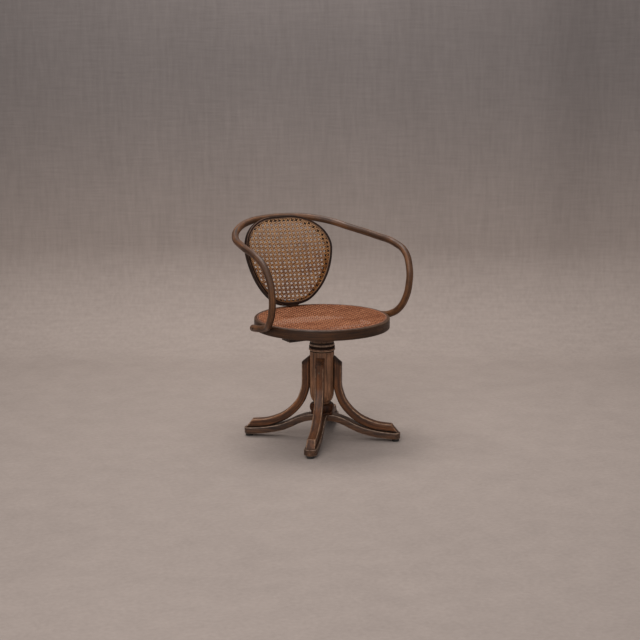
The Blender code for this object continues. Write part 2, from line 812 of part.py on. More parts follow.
def make_rod(parent, finishes, ring):
    """Bent rod, screwed to the ring's sides at its two feet."""
    half = [around(angle, SEAT_R + reach, SEAT_TOP + rise) for angle, reach, rise in ROD_LINE]
    half += [around(angle, ROD_FOOT_R + away, SEAT_TOP - fall) for angle, fall, away in ROD_FOOT]
    other = [Vector((-point.x, point.y, point.z)) for point in half[:0:-1]]
    bent = place("bent_rod", rod("bent_rod", other + half, ROD_R), finishes["wood"], parent)
    seat = place("bent_rod_seat", rod("bent_rod_seat", other + half, ROD_R + GAP), None, parent)
    for hand, way in (("left", 1), ("right", -1)):
        for end, angle in zip(("front", "rear"), ROD_SCREW_ANGLES):
            head = around(angle, ROD_FOOT_R + ROD_R - 2 * GAP, SEAT_TOP - level(ROD_FOOT, angle))
            inward = around(angle, -1, 0)
            head.x *= way
            inward.x *= way
            name = f"rod_screw_{hand}_{end}"
            screw(name, head, inward, ROD_SCREW_LENGTH, finishes["steel"], parent, [bent, ring])
    return bent, seat


def panel_outline(inset):
    """The panel's outline, drawn in from its edge."""
    half = [Vector(point) for point in PANEL_OUTLINE]
    other = [Vector((-point.x, point.y)) for point in half[-2:0:-1]]
    return offset(smooth(half + other, 3, closed=True), inset, closed=True)


def bend_panel(mesh, lift):
    """Move a flat mesh forward by lift and curve its sides forward."""
    for vertex in mesh.vertices:
        vertex.co.z += lift + PANEL_CURVE * vertex.co.x ** 2


def inside(point, outline, margin):
    """Whether a point is within a convex outline by more than a margin."""
    for start_point, end_point in zip(outline, outline[1:] + outline[:1]):
        along = (Vector(end_point) - Vector(start_point)).normalized()
        away = Vector(point) - Vector(start_point)
        if along.x * away.y - along.y * away.x < margin:
            return False
    return True


def net():
    """Flat net of square gaps inside the panel's outline, with its middle at z = 0."""
    half_across = (CANE_PITCH_ACROSS - CANE_BAR) / 2
    half_up = (CANE_PITCH_UP - CANE_BAR) / 2
    middle_up = PANEL_OUTLINE[-1][1] / 2
    columns = math.ceil(max(point[0] for point in PANEL_OUTLINE) / CANE_PITCH_ACROSS)
    rows = math.ceil(middle_up / CANE_PITCH_UP)
    opening = panel_outline(FRAME_WIDTH)
    loops = [panel_outline(CANE_INSET)]
    for column in range(-columns, columns + 1):
        for row in range(-rows, rows + 1):
            x, y = column * CANE_PITCH_ACROSS, middle_up + row * CANE_PITCH_UP
            if inside((x, y), opening, CANE_MARGIN):
                loops.append(square(x, y, half_across, half_up))
    mesh = slab("back_cane", loops, BACK_CANE_THICKNESS)
    shape = bmesh.new()
    shape.from_mesh(mesh)
    even_fill(shape)
    shape.to_mesh(mesh)
    shape.free()
    return mesh


def make_back(parent, finishes, ring, cane, bent, seat):
    """Caned frame that leans on the rail and stands on the ring."""
    tilt = math.radians(PANEL_TILT)
    turn = (math.pi / 2 - tilt, 0, 0)
    panel = empty("back_panel", (0, PANEL_BASE_Y, PANEL_BASE_Z), parent)
    panel.rotation_euler = turn

    half_width = FRAME_WIDTH / 2
    half_depth = FRAME_DEPTH / 2
    section = bpy.data.curves.new("frame_section", "CURVE")
    section.dimensions = "2D"
    corners = []
    for quarter in range(4):
        sign_x = 1 if quarter in (0, 3) else -1
        sign_y = 1 if quarter in (0, 1) else -1
        for step in range(2):
            angle = math.radians(90 * quarter + 90 * step)
            corners.append((
                sign_x * (half_width - FRAME_ROUND) + FRAME_ROUND * math.cos(angle),
                sign_y * (half_depth - FRAME_ROUND) + FRAME_ROUND * math.sin(angle),
            ))
    add_loop(section, corners)
    section_guide = bpy.data.objects.new("frame_section", section)
    section_guide.hide_render = True
    tools.objects.link(section_guide)
    sweep = bpy.data.curves.new("back_frame", "CURVE")
    sweep.dimensions = "2D"
    sweep.bevel_mode = "OBJECT"
    sweep.bevel_object = section_guide
    sweep.fill_mode = "NONE"
    add_loop(sweep, panel_outline(half_width))
    mesh = as_mesh("back_frame", sweep)
    bend_panel(mesh, -half_depth)
    frame = place("back_frame", mesh, finishes["wood"], panel)
    cut(frame, seat)

    mesh = net()
    bend_panel(mesh, RUNNING_GAP + BACK_CANE_THICKNESS / 2)
    place("back_cane", mesh, finishes["back_cane"], panel)

    for hand, way in (("left", 1), ("right", -1)):
        angle, reach, rise = ROD_LINE[1]
        middle = around(angle, SEAT_R + reach, SEAT_TOP + rise)
        middle.x *= way
        inward = Vector((0, -math.cos(tilt), -math.sin(tilt)))
        head = middle - inward * (ROD_R - 2 * GAP)
        screw(f"back_screw_{hand}", head, inward, BACK_SCREW_LENGTH, finishes["steel"], parent, [bent, frame])

    front = PANEL_BASE_Y + RUNNING_GAP
    rear = front + FOOT_BLOCK_DEPTH
    low = SEAT_TOP + GAP
    slope = math.tan(tilt)
    high = PANEL_BASE_Z - RUNNING_GAP
    outline = [(front, low), (rear, low), (rear, high - slope * (rear - front)), (front, high)]
    mesh = slab("back_foot_block", [outline], FOOT_BLOCK_WIDTH)
    upright = (math.pi / 2, 0, math.pi / 2)
    block = place("back_foot_block", mesh, finishes["wood"], parent, rotation=upright)
    head = (0, (front + rear) / 2, RING_BOTTOM + GAP)
    targets = [ring, cane, block, frame]
    screw("back_foot_screw", head, (0, 0, 1), FOOT_BLOCK_SCREW_LENGTH, finishes["steel"], parent, targets)


start()
finishes = {
    "wood": material("dark_wood", (0.10, 0.045, 0.022), 0.42),
    "seat_cane": material("seat_cane", (0.42, 0.17, 0.08), 0.6),
    "back_cane": material("back_cane", (0.46, 0.25, 0.11), 0.6),
    "leather": material("black_leather", (0.014, 0.011, 0.009), 0.6),
    "rubber": material("black_rubber", (0.012, 0.012, 0.012), 0.8),
    "iron": material("dark_iron", (0.06, 0.055, 0.05), 0.45, 1.0),
    "steel": material("screw_steel", (0.16, 0.14, 0.12), 0.4, 1.0),
}
standing = empty("base_axis", (0, AXIS_Y, 0))
turning = empty("swivel_axis", (0, AXIS_Y, 0))
make_base(standing, finishes)
make_washer(turning, finishes)
seat_plate = make_spindle(turning, finishes)
seat_ring, seat_cane = make_seat(turning, finishes)
make_bearers(turning, finishes, seat_plate, seat_ring)
bent_rod, rod_seat = make_rod(turning, finishes, seat_ring)
make_back(turning, finishes, seat_ring, seat_cane, bent_rod, rod_seat)
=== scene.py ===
"""A bentwood desk chair on a screw spindle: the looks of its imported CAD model."""
import math

import bmesh
import bpy
from mathutils import Matrix, Vector, geometry


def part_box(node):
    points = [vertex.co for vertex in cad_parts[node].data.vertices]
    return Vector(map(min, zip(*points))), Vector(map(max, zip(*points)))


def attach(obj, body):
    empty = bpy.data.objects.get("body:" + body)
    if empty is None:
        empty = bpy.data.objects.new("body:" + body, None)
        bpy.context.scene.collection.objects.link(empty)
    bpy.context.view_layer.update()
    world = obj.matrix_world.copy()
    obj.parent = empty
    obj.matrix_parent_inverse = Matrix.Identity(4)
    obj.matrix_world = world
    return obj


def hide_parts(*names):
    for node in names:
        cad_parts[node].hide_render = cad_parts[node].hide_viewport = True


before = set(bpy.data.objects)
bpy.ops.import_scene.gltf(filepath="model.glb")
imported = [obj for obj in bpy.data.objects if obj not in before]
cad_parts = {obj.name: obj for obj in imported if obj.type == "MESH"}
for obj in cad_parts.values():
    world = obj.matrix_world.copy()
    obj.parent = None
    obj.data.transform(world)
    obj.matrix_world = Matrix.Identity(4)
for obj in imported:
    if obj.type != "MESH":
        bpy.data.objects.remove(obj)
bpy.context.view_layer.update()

# Camera
# It stands six metres off at eye height and looks a little down on the chair, with a long lens.
# The seat faces thirty degrees away from it, as in the photograph.
lowest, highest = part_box("column")
AXIS = Vector((0, (lowest.y + highest.y) / 2, 0))
VIEW_TURN = math.radians(30)
VIEW_DISTANCE = 6.0
VIEW_HEIGHT = 1.65
VIEW_PITCH = math.radians(11.64)
VIEW_YAW = math.radians(0.064)
VIEW_LENS = 101.59


def set_out(name, data):
    """An object in the scene with the given data."""
    made = bpy.data.objects.new(name, data)
    bpy.context.scene.collection.objects.link(made)
    return made


camera = set_out("camera", bpy.data.cameras.new("camera"))
camera.data.sensor_width = 36
camera.data.lens = VIEW_LENS
toward_camera = Vector((-math.sin(VIEW_TURN), -math.cos(VIEW_TURN), 0))
camera.location = AXIS + toward_camera * VIEW_DISTANCE + Vector((0, 0, VIEW_HEIGHT))
camera.rotation_euler = (math.pi / 2 - VIEW_PITCH, 0, VIEW_YAW - VIEW_TURN)
bpy.context.scene.camera = camera

# Light
# One large soft lamp hangs over the chair and a little behind it, as the short shadow on the
# floor shows. A wider lamp on the camera's side and an even room light fill the front.
ROOM_LIGHT = 0.46
bpy.context.scene.view_settings.view_transform = "Standard"
world = bpy.data.worlds.new("room")
world.use_nodes = True
world.node_tree.nodes["Background"].inputs["Color"].default_value = (0.97, 0.97, 1.0, 1)
world.node_tree.nodes["Background"].inputs["Strength"].default_value = ROOM_LIGHT
bpy.context.scene.world = world


def hang_lamp(name, place, target, size, power, colour):
    """A square soft lamp that faces a point."""
    lamp = bpy.data.lights.new(name, "AREA")
    lamp.shape = "SQUARE"
    lamp.size = size
    lamp.energy = power
    lamp.color = colour
    holder = set_out(name, lamp)
    holder.location = place
    holder.rotation_euler = (Vector(target) - Vector(place)).to_track_quat("-Z", "Y").to_euler()


side = Vector((math.cos(VIEW_TURN), -math.sin(VIEW_TURN), 0))
chair_middle = AXIS + Vector((0, 0, 0.4))
overhead = AXIS - toward_camera * 0.75 - side * 0.25 + Vector((0, 0, 3.0))
hang_lamp("overhead_lamp", overhead, chair_middle, 1.4, 56.5, (1.0, 0.975, 0.955))
filling = AXIS + toward_camera * 3.0 - side * 0.8 + Vector((0, 0, 2.4))
hang_lamp("filling_lamp", filling, chair_middle, 2.5, 58, (1.0, 0.975, 0.96))

# Floor and backdrop
# One wide cloth lies on the floor, turns up in a gentle curve behind the chair and hangs there.
# Its hanging part is clear from behind, so that it never stands before another view.
CLOTH_HALF_WIDTH = 7.0
CLOTH_FRONT = 7.5
CLOTH_TURN_UP = 1.15
CLOTH_CURVE = 0.42
CLOTH_TOP = 3.6


def link(tree, source, target):
    """Join an output, or a node's first output, to an input."""
    tree.links.new(source.outputs[0] if isinstance(source, bpy.types.Node) else source, target)


def put(tree, kind, settings=None, **values):
    """A node with its settings, and each input set or joined: i0 is the first, Ray_Length a named one."""
    made = tree.nodes.new(kind)
    for name, value in (settings or {}).items():
        setattr(made, name, value)
    for name, value in values.items():
        socket = made.inputs[int(name[1:]) if name[1:].isdigit() else name.replace("_", " ")]
        if isinstance(value, (bpy.types.NodeSocket, bpy.types.Node)):
            link(tree, value, socket)
        else:
            socket.default_value = value
    return made


def grid_mesh(name, rows):
    """A mesh of quads through rows of points."""
    mesh = bpy.data.meshes.new(name)
    width = len(rows[0])
    faces = []
    for row in range(len(rows) - 1):
        for column in range(width - 1):
            corner = row * width + column
            faces.append((corner, corner + 1, corner + width + 1, corner + width))
    mesh.from_pydata([point for row in rows for point in row], [], faces)
    mesh.shade_smooth()
    return mesh


def cloth_row(away, height, folds=0.0):
    """Points of the cloth from side to side at a distance behind the chair."""
    row = []
    for step in range(141):
        across = (step / 70 - 1) * CLOTH_HALF_WIDTH
        wave = math.sin(across * 6.1) + 0.6 * math.sin(across * 10.7 + 1.3) + 0.4 * math.sin(across * 17.9)
        row.append(AXIS - toward_camera * (away + folds * wave) + side * across + Vector((0, 0, height)))
    return row


floor_rows = [cloth_row(-CLOTH_FRONT + step * (CLOTH_FRONT + CLOTH_TURN_UP) / 12, 0) for step in range(13)]
hanging_rows = []
for step in range(17):
    turn = math.pi / 2 * step / 16
    away = CLOTH_TURN_UP + CLOTH_CURVE * math.sin(turn)
    hanging_rows.append(cloth_row(away, CLOTH_CURVE * (1 - math.cos(turn)), 0.010 * step / 16))
for step in range(1, 13):
    height = CLOTH_CURVE + (CLOTH_TOP - CLOTH_CURVE) * step / 12
    hanging_rows.append(cloth_row(CLOTH_TURN_UP + CLOTH_CURVE, height, 0.010))


def shader_group(name, inputs, outputs):
    """A shader group with its sockets; gives its tree, what it is given and what it makes."""
    tree = bpy.data.node_groups.new(name, "ShaderNodeTree")
    for way, sockets in (("INPUT", inputs), ("OUTPUT", outputs)):
        for socket, kind in sockets:
            tree.interface.new_socket(name=socket, in_out=way, socket_type="NodeSocket" + kind)
    return tree, tree.nodes.new("NodeGroupInput").outputs, tree.nodes.new("NodeGroupOutput").inputs


def work_out(tree, operation, first, second=0.0, third=0.0):
    """Arithmetic on values."""
    return put(tree, "ShaderNodeMath", {"operation": operation}, i0=first, i1=second, i2=third).outputs[0]


def ramp(tree, value, low, high, new_low=0.0, new_high=1.0):
    """A smooth step from one level to another."""
    return put(tree, "ShaderNodeMapRange", {"interpolation_type": "SMOOTHSTEP"}, Value=value, From_Min=low,
               From_Max=high, To_Min=new_low, To_Max=new_high).outputs["Result"]


def blend(tree, first, second, share):
    """Two colours mixed."""
    return put(tree, "ShaderNodeMix", {"data_type": "RGBA", "clamp_factor": True}, i0=share, i6=first,
               i7=second).outputs[2]


def noise(tree, place, stretch, detail, roughness=0.55):
    """Noise over a place that is stretched first."""
    place = put(tree, "ShaderNodeVectorMath", {"operation": "MULTIPLY"}, i0=place, i1=stretch)
    made = put(tree, "ShaderNodeTexNoise", Vector=place, Scale=1.0, Detail=detail, Roughness=roughness)
    return made.outputs["Fac"]


def make_cloth_figure():
    """Shader group: plain woven cloth, its tone drifting from low to high up the wall, with painted shade
    darkening it towards the left.
    """
    tree, given, made = shader_group("cloth_figure", [("Low", "Color"), ("High", "Color")],
                                     [("Colour", "Color"), ("Height", "Float")])
    place = own_place(tree)
    across, _, height = put(tree, "ShaderNodeSeparateXYZ", Vector=place).outputs
    tone = blend(tree, given["Low"], given["High"], ramp(tree, height, 0.0, 1.3))
    slubs = noise(tree, place, (70, 70, 9), 3.0)
    threads = noise(tree, place, (10, 10, 110), 3.0)
    blotches = noise(tree, place, (2.2, 2.2, 2.2), 4.0)
    level = 0.72
    for figure, share in ((slubs, 0.26), (threads, 0.20), (blotches, 0.12)):
        level = work_out(tree, "MULTIPLY_ADD", figure, share, level)
    # Painted shade: the cloth is darkened to 0.88 of its tone towards its left side.
    level = work_out(tree, "MULTIPLY", level, ramp(tree, across, -2.2, 1.2, 0.88, 1.0))
    shade = put(tree, "ShaderNodeVectorMath", {"operation": "SCALE"}, i0=tone, Scale=level)
    link(tree, shade, made["Colour"])
    link(tree, work_out(tree, "ADD", slubs, threads), made["Height"])
    return tree


def new_finish(name, levels):
    """A material with the given levels of its shader; gives its tree and shader too."""
    made = bpy.data.materials.new(name)
    made.use_nodes = True
    shader = made.node_tree.nodes["Principled BSDF"]
    for socket, level in levels.items():
        shader.inputs[socket].default_value = level
    return made, made.node_tree, shader


def own_place(tree):
    """The place on the object, for a figure that runs through all of it."""
    return put(tree, "ShaderNodeTexCoord").outputs["Object"]


def relieve(tree, shader, height, strength, distance):
    """Fine relief on a shader from a height."""
    relief = put(tree, "ShaderNodeBump", Height=height, Strength=strength, Distance=distance)
    link(tree, relief, shader.inputs["Normal"])


def figured(name, figure, relief, levels, **given):
    """A material whose colour, sheen and relief come from a shader group with the given tones."""
    made, tree, shader = new_finish(name, levels)
    tones = {key: (*value, 1) if isinstance(value, tuple) else value for key, value in given.items()}
    group = put(tree, "ShaderNodeGroup", {"node_tree": figure}, **tones)
    link(tree, group.outputs["Colour"], shader.inputs["Base Color"])
    if "Roughness" in group.outputs:
        link(tree, group.outputs["Roughness"], shader.inputs["Roughness"])
    relieve(tree, shader, group.outputs["Height"], *relief)
    return made


FLOOR_TONE = (0.362, 0.302, 0.268)
WALL_TONE = (0.184, 0.161, 0.153)
cloth_figure = make_cloth_figure()
for name, rows in (("floor", floor_rows), ("backdrop", hanging_rows)):
    finish = figured(name + "_cloth", cloth_figure, (0.25, 0.002),
                     {"Roughness": 0.95, "Specular IOR Level": 0.1}, Low=FLOOR_TONE, High=WALL_TONE)
    if name == "backdrop":
        tree = finish.node_tree
        facing = put(tree, "ShaderNodeNewGeometry").outputs["Backfacing"]
        seen = put(tree, "ShaderNodeMixShader", i0=facing, i1=tree.nodes["Principled BSDF"],
                   i2=put(tree, "ShaderNodeBsdfTransparent"))
        link(tree, seen, tree.nodes["Material Output"].inputs["Surface"])
    cloth = set_out(name, grid_mesh(name, rows))
    cloth.data.materials.append(finish)

# Column and hub
# Both are turned from beech, stained dark and polished. The legs are screwed to flats on the
# column, whose foot is a rounded bowl; the hub under it is a bead on a short straight foot.


def soften(corners, closed=False, steps=4):
    """A line through (x, y, rounding) corners, as (x, y, level): 1 on a worn edge, which also stands in for
    its painted highlight, -1 in a recess, darkened as grime and painted shade.
    """
    count = len(corners)
    line = []
    for index, (x, y, rounding) in enumerate(corners):
        here = Vector((x, y))
        if rounding == 0 or (not closed and index in (0, count - 1)):
            line.append((x, y, 0.0))
            continue
        before = Vector(corners[index - 1][:2]) - here
        after = Vector(corners[(index + 1) % count][:2]) - here
        start = here + before.normalized() * min(rounding, before.length * 0.48)
        end = here + after.normalized() * min(rounding, after.length * 0.48)
        bend = 1 if before.x * after.y - before.y * after.x > 0 else -1
        for step in range(steps + 1):
            t = step / steps
            point = (1 - t) ** 2 * start + 2 * t * (1 - t) * here + t ** 2 * end
            line.append((point.x, point.y, bend * (1 - abs(2 * t - 1))))
    return line


def skin(name, finish, rows, closed_rows=True, joined=False):
    """A piece whose surface runs through rows of (place, grain, level) points, the level marking worn edges,
    grime and painted light and shade; its ends are capped.
    """
    shape = bmesh.new()
    grain_layer = shape.verts.layers.float_vector.new("grain")
    wear_and_light_layer = shape.verts.layers.float.new("wear_and_light")
    made = []
    for row in rows:
        line = []
        for place, grain, wear_and_light in row:
            vertex = shape.verts.new(place)
            vertex[grain_layer] = grain
            vertex[wear_and_light_layer] = wear_and_light
            line.append(vertex)
        made.append(line)
    width = len(made[0])
    for row in range(len(made) if joined else len(made) - 1):
        near, far = made[row], made[(row + 1) % len(made)]
        for index in range(width if closed_rows else width - 1):
            after = (index + 1) % width
            shape.faces.new((near[index], near[after], far[after], far[index]))
    if closed_rows and not joined:
        shape.faces.new(made[0])
        shape.faces.new(made[-1])
    bmesh.ops.remove_doubles(shape, verts=shape.verts, dist=0.000001)
    bmesh.ops.recalc_face_normals(shape, faces=shape.faces)
    mesh = bpy.data.meshes.new(name)
    shape.to_mesh(mesh)
    shape.free()
    mesh.shade_smooth()
    mesh.set_sharp_from_angle(angle=math.radians(38))
    mesh.materials.append(finish)
    return set_out(name, mesh)


def turns(count):
    """Even angles round a full turn."""
    return [math.tau * step / count for step in range(count)]


def turned(name, finish, line, centre=AXIS, sides=96, closed=False):
    """A piece turned about an upright axis, its grain upright."""
    rows = []
    for turn in turns(sides):
        row = []
        for radius, height, wear_and_light in line:
            x, y = radius * math.cos(turn), radius * math.sin(turn)
            row.append((Vector((centre.x + x, centre.y + y, height)), (height, x, y), wear_and_light))
        rows.append(row)
    return skin(name, finish, rows, closed_rows=closed, joined=True)


def stored(tree, name):
    """A number or vector that is stored on the piece."""
    return put(tree, "ShaderNodeAttribute", {"attribute_name": name}).outputs


def make_wood_figure():
    """Shader group: the colour, sheen and pores of stained beech along a grain direction, with worn edges and
    painted highlights paler, and grime and painted shade darker.
    """
    tree, given, made = shader_group(
        "wood_figure",
        [("Dark", "Color"), ("Light", "Color"), ("Worn", "Color"), ("Mottle", "Float"), ("Rubbed", "Float")],
        [("Colour", "Color"), ("Roughness", "Float"), ("Height", "Float")])
    grain = stored(tree, "grain")["Vector"]
    wear_and_light = stored(tree, "wear_and_light")["Fac"]
    streaks = noise(tree, grain, (9, 620, 620), 3.0)
    bands = noise(tree, grain, (2.5, 95, 95), 3.0)
    patches = noise(tree, grain, (16, 42, 42), 4.0, 0.6)
    flecks = ramp(tree, noise(tree, grain, (150, 1700, 1700), 1.0), 0.62, 0.72)
    tone = work_out(tree, "MULTIPLY_ADD", streaks, 0.55, work_out(tree, "MULTIPLY", bands, 0.45))
    colour = blend(tree, given["Dark"], given["Light"], ramp(tree, tone, 0.36, 0.66))
    shade = work_out(tree, "MULTIPLY", given["Mottle"], ramp(tree, patches, 0.36, 0.62))
    colour = blend(tree, colour, (0, 0, 0, 1), work_out(tree, "MULTIPLY", shade, 0.8))
    colour = blend(tree, colour, (0.006, 0.003, 0.002, 1), work_out(tree, "MULTIPLY", flecks, 0.55))
    knocks = noise(tree, grain, (60, 160, 160), 3.0, 0.7)
    # Worn colour where the level is raised: real wear on edges, and painted highlights where edges and bands
    # are set paler for light.
    rub_and_highlight = work_out(tree, "MULTIPLY_ADD", wear_and_light, 0.55, work_out(tree, "MULTIPLY", knocks, 0.9))
    rub_and_highlight = ramp(tree, work_out(tree, "MULTIPLY_ADD", patches, 0.5, rub_and_highlight), 0.86, 1.42)
    colour = blend(tree, colour, given["Worn"], work_out(tree, "MULTIPLY", rub_and_highlight, given["Rubbed"]))
    # Near-black where the level is below zero: grime in recesses, and painted shade where parts are set
    # darker for the shade they lie in.
    dirt_and_shade = ramp(tree, work_out(tree, "MULTIPLY", wear_and_light, -1.0), 0.0, 1.0, 0.0, 0.75)
    link(tree, blend(tree, colour, (0.004, 0.003, 0.002, 1), dirt_and_shade), made["Colour"])
    sheen = work_out(tree, "MULTIPLY_ADD", flecks, 0.2, ramp(tree, patches, 0.3, 0.7, 0.40, 0.60))
    link(tree, work_out(tree, "MULTIPLY_ADD", dirt_and_shade, 0.3, sheen), made["Roughness"])
    pores = work_out(tree, "MULTIPLY", flecks, -0.8)
    link(tree, work_out(tree, "MULTIPLY_ADD", streaks, 0.5, pores), made["Height"])
    return tree


wood_figure = make_wood_figure()


def stained_beech(name, dark, light, worn, mottle=0.5, rubbed=0.6, shine=0.30):
    """Stained and polished beech, with its own tones, worn edges that also carry painted highlights, and
    shine.
    """
    levels = {"Specular IOR Level": shine, "Coat Weight": shine * 0.3, "Coat Roughness": 0.35}
    return figured(name, wood_figure, (0.25, 0.0004), levels, Dark=dark, Light=light, Worn=worn,
                   Mottle=mottle, Rubbed=rubbed)


COLUMN_R = 0.0415
COLUMN_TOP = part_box("column")[1].z
LIP_R = 0.0446
LINE_R = COLUMN_R - 0.0030
NECK_R = 0.0265
BOWL_TOP, BOWL_BOTTOM = 0.172, 0.132
BORE_R, BORE_BOTTOM = 0.0165, 0.1966
BARREL_R, BARREL_DEPTH = 0.0213, 0.0304
FLANGE_R, FLANGE_DEPTH = 0.0303, 0.0043
HUB_TOP, HUB_BOTTOM = 0.125, 0.0883
BEAD_R, BEAD_MIDDLE = 0.0352, 0.1115
HUB_FOOT_R, HUB_FOOT_TOP = 0.037, 0.0955
column_beech = stained_beech("column_beech", (0.110, 0.047, 0.023), (0.520, 0.250, 0.128),
                             (0.60, 0.400, 0.280), 0.55, 0.85)


def light_and_shade_bands(line, bands):
    """The line with its level set between pairs of heights, for bands of painted light and shade."""
    for low, high, tone in bands:
        line = [(radius, height, tone if low < height < high else wear_and_light) for radius, height, wear_and_light in line]
    return line


bowl = []
for step in range(13):
    turn = math.pi / 2 * step / 12
    bowl.append((NECK_R + (COLUMN_R - NECK_R) * math.cos(turn),
                 BOWL_TOP - (BOWL_TOP - BOWL_BOTTOM) * math.sin(turn), 0))
column_line = soften([
    (0, BORE_BOTTOM, 0), (BORE_R, BORE_BOTTOM, 0.0005), (BORE_R, COLUMN_TOP - BARREL_DEPTH - 0.0001, 0),
    (BARREL_R, COLUMN_TOP - BARREL_DEPTH, 0), (BARREL_R, COLUMN_TOP - FLANGE_DEPTH, 0),
    (FLANGE_R, COLUMN_TOP - FLANGE_DEPTH, 0), (FLANGE_R, COLUMN_TOP, 0.0003), (LIP_R, COLUMN_TOP, 0.0022),
    (LIP_R, COLUMN_TOP - 0.0038, 0), (LIP_R, COLUMN_TOP - 0.0066, 0.0016),
    (LINE_R, COLUMN_TOP - 0.0074, 0.0008), (LINE_R, COLUMN_TOP - 0.0106, 0.0012),
    (COLUMN_R, COLUMN_TOP - 0.0116, 0.0008), *bowl,
    (NECK_R, HUB_TOP + 0.0003, 0.001), (0, HUB_TOP + 0.0003, 0),
])
# Painted light on the lip: a dark band of painted shadow in the groove below it, and a paler band of painted
# highlight on its lower part.
column_line = light_and_shade_bands(column_line, [(COLUMN_TOP - 0.0110, COLUMN_TOP - 0.0072, -1.0),
                                          (COLUMN_TOP - 0.0066, COLUMN_TOP - 0.0042, 1.0)])
column = turned("turned_column", column_beech, column_line)
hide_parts("column")
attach(column, "base")

hub_beech = stained_beech("hub_beech", (0.025, 0.008, 0.002), (0.108, 0.031, 0.009),
                          (0.21, 0.085, 0.038), 0.6, 0.6, 0.18)
bead = []
for step in range(13):
    turn = math.pi * step / 12
    bead.append((BEAD_R + 0.0068 * math.sin(turn), BEAD_MIDDLE + 0.0135 * math.cos(turn), 0))
hub_line = soften([(0, HUB_TOP, 0), *bead, (0.0345, 0.0968, 0.0008), (HUB_FOOT_R, HUB_FOOT_TOP, 0.0012),
                   (HUB_FOOT_R, HUB_BOTTOM, 0.0012), (0, HUB_BOTTOM, 0)])
hub = turned("turned_hub", hub_beech, hub_line)
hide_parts("lower_hub")
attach(hub, "base")

# Upper legs
# Each is a square beech stick, steamed and bent outwards, with its edges rounded over. The top
# is cut to a slant, the tip to a wedge, and two screws hold it to a flat on the column.
LEG_DIRECTIONS = [math.radians(-128.5 + 90 * turn) for turn in range(4)]
LEG_INNER = 0.0408
LEG_WIDTH = 0.030
LEG_DEPTH = 0.0275
LEG_TOP = 0.291
LEG_TOP_SLANT = 0.023
LEG_TIP_WEDGE = 0.024
LEG_ROUNDING = 0.0062
# Painted shade on the legs' slanted tops, which lie in the seat's shadow; the foremost leg's top is set
# lighter, as it catches light.
LEG_TOP_SHADE = (-0.3, -1.0, -1.0, -1.0)
LEG_BEND_TOP = 0.202
LEG_BEND = [(LEG_INNER, LEG_BEND_TOP), (0.0435, 0.175), (0.058, 0.132), (0.081, 0.099), (0.113, 0.070),
            (0.145, 0.0525), (0.185, 0.0390), (0.225, 0.0340), (0.263, 0.0315)]
THIN_EDGE = 0.0009


def curve_through(points, steps, closed=False):
    """Points along a smooth curve through the given ones."""
    points = [Vector(point) for point in points]
    count = len(points)
    found = []
    for index in range(count if closed else count - 1):
        near = [index - 1, index, index + 1, index + 2]
        near = [at % count for at in near] if closed else [min(max(at, 0), count - 1) for at in near]
        before, first, last, after = (points[at] for at in near)
        for step in range(steps):
            t = step / steps
            bend = (2 * before - 5 * first + 4 * last - after) * t * t
            curl = (3 * first - before - 3 * last + after) * t * t * t
            found.append((2 * first + (last - before) * t + bend + curl) / 2)
    if not closed:
        found.append(points[-1])
    return found


def rounded_section(width, low, high, rounding):
    """A rectangle with rounded corners, across and then up, as (across, up, level): 1 on the worn corners,
    which also carry painted highlights.
    """
    half = width / 2
    rounding = min(rounding, (high - low) * 0.46, half * 0.9)
    corners = [(-half, high, rounding), (half, high, rounding), (half, low, rounding), (-half, low, rounding)]
    return soften(corners, closed=True)


def along_at(line, index):
    """The direction of a line of points at one of them."""
    return (line[min(index + 1, len(line) - 1)] - line[max(index - 1, 0)]).normalized()


def leg_stations():
    """Along the leg: distance run, inner point, outward direction and depth there."""
    straight = LEG_TOP - LEG_BEND_TOP
    line = [Vector((LEG_INNER, LEG_TOP - THIN_EDGE - straight * step / 32)) for step in range(32)]
    line += curve_through(LEG_BEND, 9)
    tail = line[-1]
    for back in (LEG_TIP_WEDGE, 0.0175, 0.0135, 0.0095, 0.006, 0.003, 0.0012):
        wanted = tail.x - back
        line = [point for point in line if abs(point.x - wanted) > 0.0008]
        near = max(index for index, point in enumerate(line) if point.x < wanted)
        share = (wanted - line[near].x) / (line[near + 1].x - line[near].x)
        line.insert(near + 1, line[near].lerp(line[near + 1], share))
    line.pop()
    found, run = [], 0.0
    for index, point in enumerate(line):
        along = along_at(line, index)
        if index:
            run += (point - line[index - 1]).length
        depth = LEG_DEPTH
        if point.y > LEG_TOP - LEG_TOP_SLANT:
            depth *= (LEG_TOP - point.y) / LEG_TOP_SLANT
        if point.x > tail.x - LEG_TIP_WEDGE:
            depth *= (tail.x - point.x) / LEG_TIP_WEDGE
        found.append((run, point, Vector((-along.y, along.x)), max(depth, THIN_EDGE)))
    return found


def heading(direction):
    """The level direction at an angle about the turning axis."""
    return Vector((math.cos(direction), math.sin(direction), 0))


